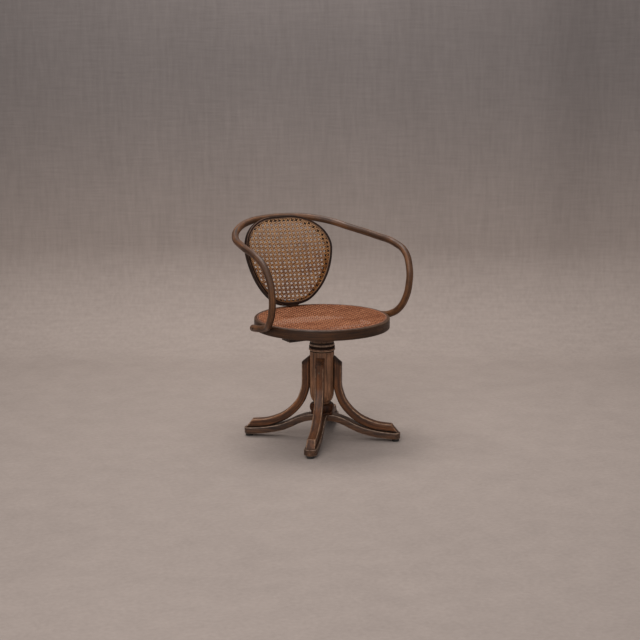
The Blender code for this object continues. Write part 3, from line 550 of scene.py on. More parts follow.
leg_beech = stained_beech("leg_beech", (0.045, 0.015, 0.005), (0.262, 0.094, 0.031),
                          (0.48, 0.290, 0.175), 0.6, 0.85, 0.32)
for number, direction in enumerate(LEG_DIRECTIONS, 1):
    outward = heading(direction)
    across = Vector((-outward.y, outward.x, 0))
    rows = []
    for run, point, out, depth in leg_stations():
        row = []
        up_slant = (point.y - LEG_TOP + LEG_TOP_SLANT) / LEG_TOP_SLANT
        past_wedge = point.x - (LEG_BEND[-1][0] - LEG_TIP_WEDGE)
        for aside, up, wear_and_light in rounded_section(LEG_WIDTH, 0, depth, LEG_ROUNDING):
            # Painted shade: the slanted top, the inner half (darkest beside the column and the bar) and the
            # wedge's face are set darker; the wedge's edges are set paler as worn edges and highlights.
            if up_slant > -0.25:
                wear_and_light = LEG_TOP_SHADE[number - 1] * min(up_slant + 0.6, 1.0)
            elif up < depth / 2:
                beside_joint = up < 0.0055 and (point.x > 0.13 or point.y > 0.19)
                wear_and_light = -0.95 if beside_joint else -0.7 * abs(wear_and_light)
            elif abs(past_wedge) < 0.0005:
                wear_and_light = 0.7
            elif past_wedge > 0:
                wear_and_light = 0.8 if wear_and_light > 0.4 else -0.45
            flat = point + out * up
            place = AXIS + outward * flat.x + across * aside + Vector((0, 0, flat.y))
            row.append((place, (run + number, aside, up), wear_and_light))
        rows.append(row)
    leg = skin(f"bent_leg_{number}", leg_beech, rows)
    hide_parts(f"upper_leg_{number}")
    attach(leg, "base")

# Crossed bars
# Two flat bars are bent to a low arch and halved into each other under the hub. Each foot is
# sawn round and lies under a leg, and the joint between the two is a dark line: a narrow gap
# with painted shade on the leg's face beside it.
BAR_WIDTH = 0.044
BAR_DEPTH = 0.0225
BAR_TIP = 0.270
BAR_END_R = 0.0235
BAR_FOOT = 0.0098
BAR_MEETS_LEG = 0.184
BAR_ARCH = [(0.000, 0.088), (0.036, 0.088), (0.060, 0.0835), (0.088, 0.073), (0.113, 0.0605), (0.145, 0.0475)]


def level_at(line, value):
    """The second value of a line of points where the first one is the given value."""
    for near, far in zip(line, line[1:]):
        if value <= far[0]:
            return near[1] + (value - near[0]) / (far[0] - near[0]) * (far[1] - near[1])
    return line[-1][1]


GAP = 0.0003
seam = [Vector((point.x, point.y - GAP)) for point in curve_through(LEG_BEND, 9) if point.x >= BAR_MEETS_LEG]
bar_top = curve_through(BAR_ARCH + [tuple(seam[0])], 9)[:-1] + seam + [Vector((BAR_TIP, seam[-1].y))]
bar_bottom = []
for index, point in enumerate(bar_top):
    along = along_at(bar_top, index)
    bar_bottom.append(Vector((point.x + along.y * BAR_DEPTH, max(point.y - along.x * BAR_DEPTH, BAR_FOOT))))
bar_bottom[0] = Vector((0, BAR_ARCH[0][1] - BAR_DEPTH))
bar_beech = stained_beech("bar_beech", (0.036, 0.015, 0.007), (0.165, 0.075, 0.037),
                          (0.46, 0.310, 0.215), 0.6, 0.85, 0.40)
LAP = BAR_WIDTH / 2 + GAP
bar_middle = BAR_ARCH[0][1] - BAR_DEPTH / 2
for number, direction in enumerate(LEG_DIRECTIONS[:2], 1):
    outward = heading(direction)
    across = Vector((-outward.y, outward.x, 0))
    half = [step * 0.004 for step in range(1, 62)]
    half += [BAR_TIP - BAR_END_R * (1 - math.sin(math.pi / 2 * step / 9)) for step in range(1, 9)]
    half += [BAR_TIP - 0.00003, LAP - 0.00001, LAP]
    reaches = sorted(set(half + [0.0] + [-value for value in half]))
    rows = []
    for reach in reaches:
        far = abs(reach)
        beyond = max(far - (BAR_TIP - BAR_END_R), 0)
        width = 2 * min(BAR_WIDTH / 2, math.sqrt(max(BAR_END_R ** 2 - beyond ** 2, 0.0000001)))
        low, high = level_at(bar_bottom, far), level_at(bar_top, far)
        if far < LAP - 0.000005:
            low, high = (low, bar_middle) if number == 1 else (bar_middle + GAP, high)
        row = []
        for aside, up, wear_and_light in rounded_section(width, low, high, 0.0042):
            place = AXIS + outward * reach + across * aside + Vector((0, 0, up))
            row.append((place, (reach + 3 * number, aside, up), wear_and_light))
        rows.append(row)
    bar = skin(f"bent_bar_{number}", bar_beech, rows)
    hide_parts(f"cross_bar_{number}")
    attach(bar, "base")

# Foot pads
# A black rubber glide with a slightly rounded rim is driven into the underside of each foot.
PAD_PLACE = 0.254
rubber, tree, shader = new_finish("black_rubber", {"Roughness": 0.75})
dust = noise(tree, own_place(tree), (160, 160, 160), 3.0, 0.5)
dusty = blend(tree, (0.006, 0.005, 0.005, 1), (0.032, 0.027, 0.024, 1), dust)
link(tree, dusty, shader.inputs["Base Color"])
relieve(tree, shader, dust, 0.3, 0.0003)
PAD_TOP, PAD_TOP_R, PAD_FOOT_R = 0.0095, 0.0130, 0.0122
pad_line = soften([(0, PAD_TOP, 0), (PAD_TOP_R, PAD_TOP, 0.0008), (PAD_FOOT_R, 0, 0.0016), (0, 0, 0)])
for number, direction in enumerate(LEG_DIRECTIONS, 1):
    pad = turned(f"glide_{number}", rubber, pad_line, AXIS + heading(direction) * PAD_PLACE, 48)
    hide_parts(f"foot_pad_{number}")
    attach(pad, "base")

# Iron and steel fittings
# The bolt under the hub, its washer, the nut and the stop collar stay as the CAD gives them.
# They get the worn dark metal of old fittings.


def make_tarnish():
    """Shader group: dulled metal with a mottled tarnish."""
    tree, given, made = shader_group("tarnish", [("Dark", "Color"), ("Bright", "Color"), ("Polish", "Float")],
                                     [("Colour", "Color"), ("Roughness", "Float"), ("Height", "Float")])
    place = own_place(tree)
    film = noise(tree, place, (230, 230, 230), 5.0, 0.6)
    patches = noise(tree, place, (45, 45, 45), 3.0)
    spread = ramp(tree, work_out(tree, "MULTIPLY", film, patches), 0.14, 0.40)
    link(tree, blend(tree, given["Bright"], given["Dark"], spread), made["Colour"])
    link(tree, work_out(tree, "MULTIPLY_ADD", spread, 0.3, given["Polish"]), made["Roughness"])
    link(tree, film, made["Height"])
    return tree


tarnish = make_tarnish()


def old_metal(name, dark, bright, polish):
    """Old metal with its own two tones and polish."""
    return figured(name, tarnish, (0.15, 0.0002), {"Metallic": 1.0}, Dark=dark, Bright=bright, Polish=polish)


dark_iron = old_metal("dark_iron", (0.020, 0.015, 0.012), (0.20, 0.18, 0.16), 0.36)
dull_steel = old_metal("dull_steel", (0.045, 0.026, 0.016), (0.17, 0.120, 0.085), 0.42)
for node, metal in (("spindle_nut", dark_iron), ("stop_collar", dark_iron), ("centre_bolt", dull_steel),
                    ("centre_washer", dull_steel)):
    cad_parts[node].data.materials[0] = metal

# Screws
# Slotted countersunk wood screws hold every joint of the chair. One tree sets a screw with its
# head, slot and shank at each point, turned the way that it drives.


def new_tree(name, numbers, **others):
    """A Geometry Nodes tree with a geometry in and out, numbers and other inputs by their kind."""
    tree = bpy.data.node_groups.new(name, "GeometryNodeTree")
    tree.interface.new_socket(name="Geometry", in_out="OUTPUT", socket_type="NodeSocketGeometry")
    for socket, kind in {"Geometry": "Geometry", **dict.fromkeys(numbers, "Float"), **others}.items():
        tree.interface.new_socket(name=socket, in_out="INPUT", socket_type="NodeSocket" + kind)
    return tree, tree.nodes.new("NodeGroupInput").outputs, tree.nodes.new("NodeGroupOutput").inputs[0]


def gathered(tree, *parts):
    """Several geometries joined into one."""
    made = put(tree, "GeometryNodeJoinGeometry")
    for part in parts:
        link(tree, part, made.inputs[0])
    return made


def end_tree(tree, geometry, finish, result):
    """Make the geometry real, give it its material and hand it out."""
    whole = put(tree, "GeometryNodeRealizeInstances", Geometry=geometry)
    link(tree, put(tree, "GeometryNodeSetMaterial", Geometry=whole, Material=finish), result)


def grow(piece, tree, **values):
    """Run a tree on a piece and keep the result as its plain mesh."""
    step = piece.modifiers.new(tree.name, "NODES")
    step.node_group = tree
    sockets = {item.name: item.identifier for item in tree.interface.items_tree if item.in_out == "INPUT"}
    for name, value in values.items():
        step[sockets[name.replace("_", " ")]] = value
    bpy.context.view_layer.update()
    state = bpy.context.evaluated_depsgraph_get()
    mesh = bpy.data.meshes.new_from_object(piece.evaluated_get(state))
    piece.modifiers.clear()
    piece.data = mesh
    return piece


screw_tree, given, result = new_tree(
    "slotted_screws", ("Head Radius", "Head Height", "Shank Radius", "Shank Length", "Slot Width"),
    Finish="Material")
sunk = work_out(screw_tree, "MULTIPLY", given["Head Height"], -1.0)
deep = work_out(screw_tree, "SUBTRACT", sunk, given["Shank Length"])
head = put(screw_tree, "GeometryNodeMeshCone", Vertices=28, Radius_Top=given["Head Radius"],
           Radius_Bottom=given["Shank Radius"], Depth=given["Head Height"])
head = put(screw_tree, "GeometryNodeTransform", Geometry=head,
           Translation=put(screw_tree, "ShaderNodeCombineXYZ", Z=sunk))
slot_size = put(screw_tree, "ShaderNodeCombineXYZ", X=0.03, Y=given["Slot Width"], Z=given["Head Height"])
slotted = put(screw_tree, "GeometryNodeMeshBoolean", {"operation": "DIFFERENCE"}, i0=head,
              i1=put(screw_tree, "GeometryNodeMeshCube", Size=slot_size))
shank = put(screw_tree, "GeometryNodeMeshCone", Vertices=16, Radius_Top=given["Shank Radius"],
            Radius_Bottom=0.0006, Depth=given["Shank Length"])
shank = put(screw_tree, "GeometryNodeTransform", Geometry=shank,
            Translation=put(screw_tree, "ShaderNodeCombineXYZ", Z=deep))
aim = put(screw_tree, "GeometryNodeInputNamedAttribute", {"data_type": "FLOAT_VECTOR"}, Name="aim")
placed = put(screw_tree, "GeometryNodeInstanceOnPoints", Points=given["Geometry"],
             Instance=gathered(screw_tree, slotted, shank), Rotation=aim.outputs["Attribute"])
end_tree(screw_tree, placed, given["Finish"], result)


def drive_screws(name, body, screws):
    """One piece with all the screws of a body, from (node, head, inward direction)."""
    mesh = bpy.data.meshes.new(name)
    mesh.from_pydata([head for _, head, _ in screws], [], [])
    aims = mesh.attributes.new("aim", "FLOAT_VECTOR", "POINT")
    for index, (_, _, inward) in enumerate(screws):
        turn = Matrix.Rotation(index * 2.4, 3, "Z").to_quaternion()
        aims.data[index].vector = ((-Vector(inward)).to_track_quat("Z", "Y") @ turn).to_euler()
    piece = set_out(name, mesh)
    grow(piece, screw_tree, Head_Radius=0.0045, Head_Height=0.0028, Shank_Radius=0.0022,
         Shank_Length=0.024, Slot_Width=0.0009, Finish=dull_steel)
    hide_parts(*[node for node, _, _ in screws])
    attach(piece, body)


def around(direction, radius, height):
    """A point by its direction and distance from the turning axis."""
    return AXIS + Vector((radius * math.cos(direction), radius * math.sin(direction), height))


PROUD = 0.0001
LEG_SCREW_HEIGHTS = {"upper": 0.245, "lower": 0.195}
FOOT_SCREW_PLACE = 0.213
base_screws = []
for number, direction in enumerate(LEG_DIRECTIONS, 1):
    for row, height in LEG_SCREW_HEIGHTS.items():
        head_place = around(direction, LEG_INNER + LEG_DEPTH + PROUD, height)
        base_screws.append((f"leg_{number}_{row}_screw", head_place, -heading(direction)))
    head_place = around(direction, FOOT_SCREW_PLACE, level_at(bar_bottom, FOOT_SCREW_PLACE) - PROUD)
    base_screws.append((f"foot_screw_{number}", head_place, (0, 0, 1)))
for number in (1, 2):
    lowest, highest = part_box(f"nut_screw_{number}")
    middle = (lowest + highest) / 2
    base_screws.append((f"nut_screw_{number}", (middle.x, middle.y, highest.z), (0, 0, -1)))
drive_screws("base_screws", "base", base_screws)

# Thrust washer and turning head
# A black leather washer lies on the column. The turned beech head of the seat rests on it, and
# the dark line between the two is the gap that opens when the seat is raised.
leather, tree, shader = new_finish("oiled_leather", {"Roughness": 0.7, "Specular IOR Level": 0.15})
place = own_place(tree)
creases = put(tree, "ShaderNodeTexVoronoi", {"feature": "DISTANCE_TO_EDGE"}, Vector=place, Scale=900.0)
stain = noise(tree, place, (120, 120, 120), 3.0, 0.5)
stained = blend(tree, (0.006, 0.003, 0.002, 1), (0.034, 0.014, 0.007, 1), stain)
link(tree, stained, shader.inputs["Base Color"])
relieve(tree, shader, creases.outputs["Distance"], 0.3, 0.0003)
lowest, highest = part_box("thrust_washer")
WASHER_R, WASHER_HOLE_R = 0.044, 0.0175
washer_line = soften([(WASHER_HOLE_R, highest.z, 0.0005), (WASHER_R, highest.z, 0.0018),
                      (WASHER_R, lowest.z, 0.0018), (WASHER_HOLE_R, lowest.z, 0.0005)], closed=True)
washer = turned("leather_washer", leather, washer_line, closed=True)
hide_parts("thrust_washer")
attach(washer, "washer")

lowest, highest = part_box("turning_head")
HEAD_BOTTOM, HEAD_TOP = lowest.z, highest.z
HEAD_R, HEAD_NECK_R, HEAD_HOLE_R = 0.0445, 0.042, 0.0130
HEAD_COVE_R, HEAD_BEAD_R = HEAD_NECK_R - 0.0012, HEAD_NECK_R + 0.0009
head_line = soften([
    (HEAD_HOLE_R, HEAD_TOP, 0), (HEAD_R, HEAD_TOP, 0.0012), (HEAD_R, HEAD_BOTTOM + 0.0165, 0.0014),
    (HEAD_COVE_R, HEAD_BOTTOM + 0.0130, 0.0020), (HEAD_COVE_R, HEAD_BOTTOM + 0.0086, 0.0020),
    (HEAD_BEAD_R, HEAD_BOTTOM + 0.0060, 0.0020), (HEAD_BEAD_R, HEAD_BOTTOM + 0.0012, 0.0008),
    (HEAD_NECK_R, HEAD_BOTTOM, 0.0005), (HEAD_HOLE_R, HEAD_BOTTOM, 0),
], closed=True)
# Painted light on the head: a dark band of painted shade across its cove under the ring, and a paler band of
# painted highlight on its foot bead.
head_line = light_and_shade_bands(head_line, [(HEAD_BOTTOM + 0.0078, HEAD_BOTTOM + 0.0140, -1.0),
                                      (HEAD_BOTTOM + 0.0010, HEAD_BOTTOM + 0.0072, 0.9)])
head_beech = stained_beech("head_beech", (0.055, 0.024, 0.012), (0.240, 0.125, 0.070),
                           (0.55, 0.380, 0.270), 0.5, 0.85)
turning_head = turned("turned_head", head_beech, head_line, closed=True)
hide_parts("turning_head")
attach(turning_head, "seat")

# Screw spindle
# A steel bar with a coarse right-hand thread is riveted into the seat's iron plate. It runs in
# the nut in the column's top, and shows only when the seat is raised.
THREAD_PITCH = 0.008
THREAD_CORE_R = 0.0101
THREAD_CREST_R = 0.0124
TENON_R, RIVET_R, TIP_R = 0.009, 0.0118, 0.0104
plate_low, plate_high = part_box("seat_plate")
collar_low, collar_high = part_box("stop_collar")
THREAD_LOW = collar_high.z + 0.0006
rivet = plate_high.z + GAP
shoulder = collar_high.z + 0.0002
tip = collar_low.z - 0.0019
core_line = soften([
    (0, rivet + 0.0034, 0), (RIVET_R, rivet + 0.0001, 0.001), (TENON_R, rivet, 0), (TENON_R, HEAD_TOP, 0),
    (THREAD_CORE_R, HEAD_TOP, 0), (THREAD_CORE_R, shoulder, 0.0006), (TENON_R, shoulder, 0),
    (TENON_R, collar_low.z, 0), (TIP_R, collar_low.z - 0.0004, 0.0004), (TIP_R, tip, 0.0004), (0, tip, 0),
])
spindle = turned("threaded_spindle", dark_iron, core_line, sides=48)
thread_tree, given, result = new_tree(
    "spindle_thread", ("Turns", "Length", "Core Radius", "Crest Radius", "Ridge Width"), Foot="Vector",
    Finish="Material")
helix = put(thread_tree, "GeometryNodeCurveSpiral", Resolution=40, Rotations=given["Turns"],
            Height=given["Length"], Start_Radius=given["Core Radius"], End_Radius=given["Core Radius"])
ridge = put(thread_tree, "GeometryNodeCurvePrimitiveQuadrilateral", {"mode": "TRAPEZOID"}, Offset=0.0,
            Bottom_Width=given["Ridge Width"],
            Top_Width=work_out(thread_tree, "MULTIPLY", given["Ridge Width"], 0.55),
            Height=work_out(thread_tree, "SUBTRACT", given["Crest Radius"], given["Core Radius"]))
ridge = put(thread_tree, "GeometryNodeTransform", Geometry=ridge, Rotation=(0, 0, math.pi / 2))
thread = put(thread_tree, "GeometryNodeCurveToMesh", Profile_Curve=ridge, Fill_Caps=True,
             Curve=put(thread_tree, "GeometryNodeSetCurveNormal", {"mode": "Z_UP"}, Curve=helix))
thread = put(thread_tree, "GeometryNodeTransform", Geometry=thread, Translation=given["Foot"])
end_tree(thread_tree, gathered(thread_tree, thread, given["Geometry"]), given["Finish"], result)
thread_length = HEAD_BOTTOM + 0.004 - THREAD_LOW
grow(spindle, thread_tree, Turns=thread_length / THREAD_PITCH, Length=thread_length,
     Core_Radius=THREAD_CORE_R, Crest_Radius=THREAD_CREST_R, Ridge_Width=THREAD_PITCH * 0.55,
     Foot=(0, AXIS.y, THREAD_LOW), Finish=dark_iron)
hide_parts("spindle")
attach(spindle, "seat")

# Seat plate and bearers
# The iron plate carries the seat: the spindle is riveted through it, and four screws hold it
# under two beech boards. The boards are left darker and rougher than the rest.


def board(name, finish, node, rounding, grain_along):
    """A flat board with rounded edges that fills a node's box; grain runs along X or Y."""
    lowest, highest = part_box(node)
    size, middle = highest - lowest, (lowest + highest) / 2
    half = size / 2
    long = 0 if grain_along == "X" else 1
    wide = 1 - long
    rows = []
    for station in (-1, -0.998, -0.99, *[step / 10 for step in range(-9, 10)], 0.99, 0.998, 1):
        past = max((abs(station) - 0.99) / 0.01, 0)
        inset = rounding * (1 - math.sqrt(max(1 - past ** 2, 0)))
        section = rounded_section(size[wide] - 2 * inset, -half.z + inset, half.z - inset, rounding)
        row = []
        for aside, up, wear_and_light in section:
            place = Vector(middle)
            place[long] += station * half[long]
            place[wide] += aside
            place.z += up
            grain = (station * half[long] + middle[1] * 7, aside, up)
            row.append((place, grain, max(wear_and_light, inset / rounding)))
        rows.append(row)
    return skin(name, finish, rows)


plate = board("iron_plate", dark_iron, "seat_plate", 0.0008, "Y")
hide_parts("seat_plate")
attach(plate, "seat")

bearer_beech = stained_beech("bearer_beech", (0.014, 0.008, 0.005), (0.050, 0.026, 0.016),
                             (0.10, 0.060, 0.040), 0.5, 0.4)
for side_name in ("front", "rear"):
    bearer = board(f"{side_name}_board", bearer_beech, f"{side_name}_bearer", 0.0018, "X")
    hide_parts(f"{side_name}_bearer")
    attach(bearer, "seat")

# Seat ring
# One beech lath is bent to a full circle. A groove near the rim of its top holds the cane, and
# inside the groove the top is a little lower, so that the cane lies flush.
SEAT_R = 0.230
lowest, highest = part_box("seat_ring")
SEAT_TOP, RING_BOTTOM = highest.z, lowest.z
SEAT_GROOVE = (0.2148, 0.2200)
RING_IN_R = 0.182
groove_floor = SEAT_TOP - 0.0060
ring_line = soften([
    (0.2212, SEAT_TOP, 0.0012), (SEAT_R, SEAT_TOP, 0.0055), (SEAT_R, RING_BOTTOM, 0.0024),
    (RING_IN_R, RING_BOTTOM, 0.0016), (RING_IN_R, SEAT_TOP - 0.0034, 0.004),
    (SEAT_GROOVE[0], SEAT_TOP - 0.0018, 0.0006), (SEAT_GROOVE[0], groove_floor, 0.0004),
    (SEAT_GROOVE[1] + 0.0004, groove_floor, 0.0004),
], closed=True, steps=5)


def bent_round(name, finish, line, grain_start=0, rubbed=0.0):
    """A lath bent round the turning axis; grain runs round it, and its right front is set paler as a painted
    sheen.
    """
    rows = []
    for turn in turns(240):
        # Painted sheen: the right front of the lath is set paler, as if it caught light.
        painted_sheen = rubbed * max(math.cos(turn + math.radians(33)), 0) ** 4
        row = []
        for radius, height, wear_and_light in line:
            grain = (turn * SEAT_R + grain_start, radius, height)
            row.append((around(turn, radius, height), grain, wear_and_light + painted_sheen))
        rows.append(row)
    return skin(name, finish, rows, joined=True)


ring_beech = stained_beech("ring_beech", (0.026, 0.010, 0.003), (0.084, 0.032, 0.011),
                           (0.20, 0.120, 0.075), 0.45, 0.45, 0.28)
ring = bent_round("bent_seat_ring", ring_beech, ring_line, 9, 0.55)
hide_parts("seat_ring")
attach(ring, "seat")

# Woven cane
# Pairs of split rattan run up and across, over and under each other, and single strands cross
# them on both slants, so that the holes are eight-sided. Seat and back use the same tree.
weave_tree, given, result = new_tree(
    "woven_cane", ("Pitch Across", "Pitch Up", "Pair Offset", "Strand Width", "Strand Thickness", "Pair Lift",
                   "Slant Lift", "Reach", "Turn", "Sag", "Sag Radius", "Curve", "Drift", "Step"),
    Middle="Vector", Squares="Bool", Slants="Bool", Seed="Int", Finish="Material")


def knit(kind, settings=None, **values):
    """A node of the weave's tree."""
    return put(weave_tree, kind, settings, **values)


def count_up(operation, first, second=0.0, third=0.0):
    """Arithmetic in the weave's tree."""
    return work_out(weave_tree, operation, first, second, third)


def here():
    """Where each point is now, split into X, Y and Z."""
    return knit("ShaderNodeSeparateXYZ", Vector=knit("GeometryNodeInputPosition")).outputs


def marked(strands, domain, name, value):
    """The strands with a named number stored on them."""
    return knit("GeometryNodeStoreNamedAttribute", {"data_type": "FLOAT", "domain": domain}, Geometry=strands,
                Name=name, Value=value)


def moved(strands, **parts):
    """The strands shifted by the given X, Y or Z."""
    return knit("GeometryNodeSetPosition", Geometry=strands, Offset=knit("ShaderNodeCombineXYZ", **parts))


def laid_strands(kind, side_way, step_axis, run_axis):
    """Long straight strands of one direction, side by side about the middle."""
    pitch_x, pitch_y = given["Pitch Across"], given["Pitch Up"]
    spread = pitch_x if step_axis == "X" else pitch_y
    count = count_up("CEIL", count_up("DIVIDE", given["Reach"], spread))
    count = count_up("MULTIPLY", count, 4.0 if kind == "slant" else 2.0)
    first = count_up("MULTIPLY", count_up("MULTIPLY_ADD", count, -0.5, 0.5), spread)
    if kind == "slant":
        run = count_up("MULTIPLY", given["Reach"], 2.0)
        climb = count_up("MULTIPLY", count_up("DIVIDE", pitch_y, pitch_x), run)
        end = knit("ShaderNodeCombineXYZ", X=run, Y=count_up("MULTIPLY", climb, float(side_way)))
    else:
        first = count_up("MULTIPLY_ADD", given["Pair Offset"], float(side_way), first)
        end = knit("ShaderNodeCombineXYZ", **{run_axis: given["Reach"]})
    points = knit("GeometryNodeMeshLine", {"mode": "OFFSET"}, Count=count,
                  Start_Location=knit("ShaderNodeCombineXYZ", **{step_axis: first}),
                  Offset=knit("ShaderNodeCombineXYZ", **{step_axis: spread}))
    back = knit("ShaderNodeVectorMath", {"operation": "SCALE"}, i0=end, Scale=-1.0)
    strands = knit("GeometryNodeInstanceOnPoints", Points=points,
                   Instance=knit("GeometryNodeCurvePrimitiveLine", Start=back, End=end))
    return knit("GeometryNodeResampleCurve", {"mode": "LENGTH"}, Length=given["Step"],
                Curve=knit("GeometryNodeRealizeInstances", Geometry=strands))


def over_and_under(strands, kind, side_way, run_axis):
    """The strands waved over and under the others, with how high they are kept on them."""
    pitch = given["Pitch Up" if run_axis == "Y" else "Pitch Across"]
    phase = count_up("MULTIPLY", count_up("DIVIDE", here()[run_axis], pitch), math.tau)
    way = side_way if kind == "up" else -side_way
    wave = count_up("MULTIPLY", count_up("COSINE" if kind == "slant" else "SINE", phase), float(way))
    lift = given["Slant Lift" if kind == "slant" else "Pair Lift"]
    return moved(marked(strands, "POINT", "over", wave), Z=count_up("MULTIPLY", wave, lift))


def cut_to_outline(strands):
    """The strands turned and shifted to their place, and cut where the outline ends."""
    place = knit("ShaderNodeVectorRotate", {"rotation_type": "Z_AXIS"}, Angle=given["Turn"],
                 Vector=knit("GeometryNodeInputPosition"))
    place = knit("ShaderNodeVectorMath", {"operation": "ADD"}, i0=place, i1=given["Middle"])
    strands = knit("GeometryNodeSetPosition", Geometry=strands, Position=place)
    strands = moved(strands, X=count_up("MULTIPLY", count_up("POWER", here()["X"], 2.0), given["Drift"]))
    above = knit("ShaderNodeVectorMath", {"operation": "ADD"}, i0=knit("GeometryNodeInputPosition"),
                 i1=(0, 0, 1))
    look = knit("GeometryNodeRaycast", Target_Geometry=given["Geometry"], Source_Position=above,
                Ray_Direction=(0, 0, -1), Ray_Length=10)
    outside = knit("FunctionNodeBooleanMath", {"operation": "NOT"}, i0=look.outputs["Is Hit"])
    return knit("GeometryNodeDeleteGeometry", {"domain": "POINT"}, Geometry=strands, Selection=outside)


def sagged(strands):
    """The strands sagged towards the middle and bent to the panel's curve."""
    x, y, _ = here()
    flat = knit("ShaderNodeCombineXYZ", X=x, Y=y)
    out = knit("ShaderNodeVectorMath", {"operation": "LENGTH"}, i0=flat).outputs["Value"]
    share = count_up("POWER", count_up("DIVIDE", out, given["Sag Radius"]), 2.0)
    droop = count_up("MULTIPLY", count_up("MINIMUM", count_up("SUBTRACT", share, 1.0), 0.0), given["Sag"])
    bent = count_up("MULTIPLY", count_up("POWER", x, 2.0), given["Curve"])
    return moved(strands, Z=count_up("ADD", droop, bent))


def strand_family(kind, side_way):
    """All strands of one direction, each with a chance value of its own, swept with a flat section."""
    step_axis = "Y" if kind == "across" else "X"
    run_axis = "Y" if kind == "up" else "X"
    strands = laid_strands(kind, side_way, step_axis, run_axis)
    strands = cut_to_outline(over_and_under(strands, kind, side_way, run_axis))
    chance = knit("FunctionNodeRandomValue", {"data_type": "FLOAT"}, Seed=given["Seed"],
                  ID=knit("GeometryNodeInputIndex"))
    strands = sagged(marked(strands, "CURVE", "strand", chance.outputs[1]))
    flatten = knit("ShaderNodeCombineXYZ", X=given["Strand Width"], Y=given["Strand Thickness"], Z=1.0)
    section = knit("GeometryNodeCurvePrimitiveCircle", Resolution=6, Radius=0.5)
    section = knit("GeometryNodeTransform", Geometry=section, Scale=flatten)
    return knit("GeometryNodeCurveToMesh", Profile_Curve=section, Fill_Caps=True,
                Curve=knit("GeometryNodeSetCurveNormal", {"mode": "Z_UP"}, Curve=strands))


families = {
    "Squares": [strand_family(kind, side_way) for kind in ("up", "across") for side_way in (-1, 1)],
    "Slants": [strand_family("slant", side_way) for side_way in (1, -1)],
}
chosen = []
for wanted, strands in families.items():
    strands = gathered(weave_tree, *strands)
    chosen.append(knit("GeometryNodeSwitch", {"input_type": "GEOMETRY"}, Switch=given[wanted], i2=strands))
smooth = knit("GeometryNodeSetShadeSmooth", Geometry=gathered(weave_tree, *chosen))
end_tree(weave_tree, smooth, given["Finish"], result)


def make_rattan_figure():
    """Shader group: split cane, each strand with its own tone, fine fibres, painted shade where strands pass
    under others, and paler towards the top.
    """
    tree, given, made = shader_group(
        "rattan_figure", [("Pale", "Color"), ("Deep", "Color"), ("Hidden", "Color")],
        [("Colour", "Color"), ("Roughness", "Float"), ("Height", "Float")])
    place = own_place(tree)
    fibres = noise(tree, place, (700, 700, 700), 2.0)
    stains = noise(tree, place, (22, 22, 22), 4.0)
    height = put(tree, "ShaderNodeSeparateXYZ", Vector=place).outputs["Z"]
    # The cane's tone runs paler towards the top of the back: darker below, with a pale tan mixed in higher
    # up.
    lower = ramp(tree, height, 0.45, 0.72, -0.20, -0.60)
    share = work_out(tree, "MULTIPLY_ADD", stored(tree, "strand")["Fac"], 0.75, lower)
    share = work_out(tree, "MULTIPLY_ADD", stains, 0.75, share)
    tone = blend(tree, given["Pale"], given["Deep"], work_out(tree, "MULTIPLY_ADD", fibres, 0.5, share))
    # Painted shade: where a strand passes under others it is darkened to the third tone.
    shaded_dip = ramp(tree, stored(tree, "over")["Fac"], -0.8, 0.5, 0.95, 0.0)
    paler_up_high = blend(tree, tone, (0.66, 0.50, 0.36, 1), ramp(tree, height, 0.55, 0.72, 0.0, 0.27))
    link(tree, blend(tree, paler_up_high, given["Hidden"], shaded_dip), made["Colour"])
    link(tree, work_out(tree, "MULTIPLY_ADD", fibres, 0.25, 0.45), made["Roughness"])
    link(tree, fibres, made["Height"])
    return tree


rattan_figure = make_rattan_figure()


def split_rattan(name, pale, deep, hidden):
    """Split cane with its own tones; the third is the painted shade where strands pass under others."""
    return figured(name, rattan_figure, (0.2, 0.0003), {"Specular IOR Level": 0.12}, Pale=pale, Deep=deep,
                   Hidden=hidden)


def outline_face(name, outline):
    """A flat face that the strands are cut to."""
    mesh = bpy.data.meshes.new(name)
    mesh.from_pydata([(x, y, 0) for x, y in outline], [], [tuple(range(len(outline)))])
    return set_out(name, mesh)


# The seat cane's third tone is painted shade where strands pass under others.
seat_rattan = split_rattan("seat_rattan", (0.66, 0.290, 0.145), (0.29, 0.098, 0.043), (0.045, 0.013, 0.005))
CANE_R = SEAT_GROOVE[0] * 1.006
SEAT_PITCH = 0.0157
seat_outline = [(CANE_R * math.cos(turn), CANE_R * math.sin(turn)) for turn in turns(120)]
for name, squares in (("seat_cane_squares", True), ("seat_cane_slants", False)):
    woven_seat = outline_face(name, seat_outline)
    grow(woven_seat, weave_tree, Pitch_Across=SEAT_PITCH, Pitch_Up=SEAT_PITCH, Pair_Offset=0.0019,
         Strand_Width=0.0026, Strand_Thickness=0.0010, Pair_Lift=0.0007, Slant_Lift=0.0011, Reach=0.22,
         Turn=0.0, Sag=0.004, Sag_Radius=RING_IN_R, Curve=0.0, Drift=0.0, Middle=(0, 0, 0), Step=0.0029,
         Squares=squares, Slants=not squares, Seed=4, Finish=seat_rattan)
    woven_seat.data.transform(Matrix.Translation(AXIS + Vector((0, 0, SEAT_TOP - 0.0006))))
    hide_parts("seat_cane")
    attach(woven_seat, "seat")

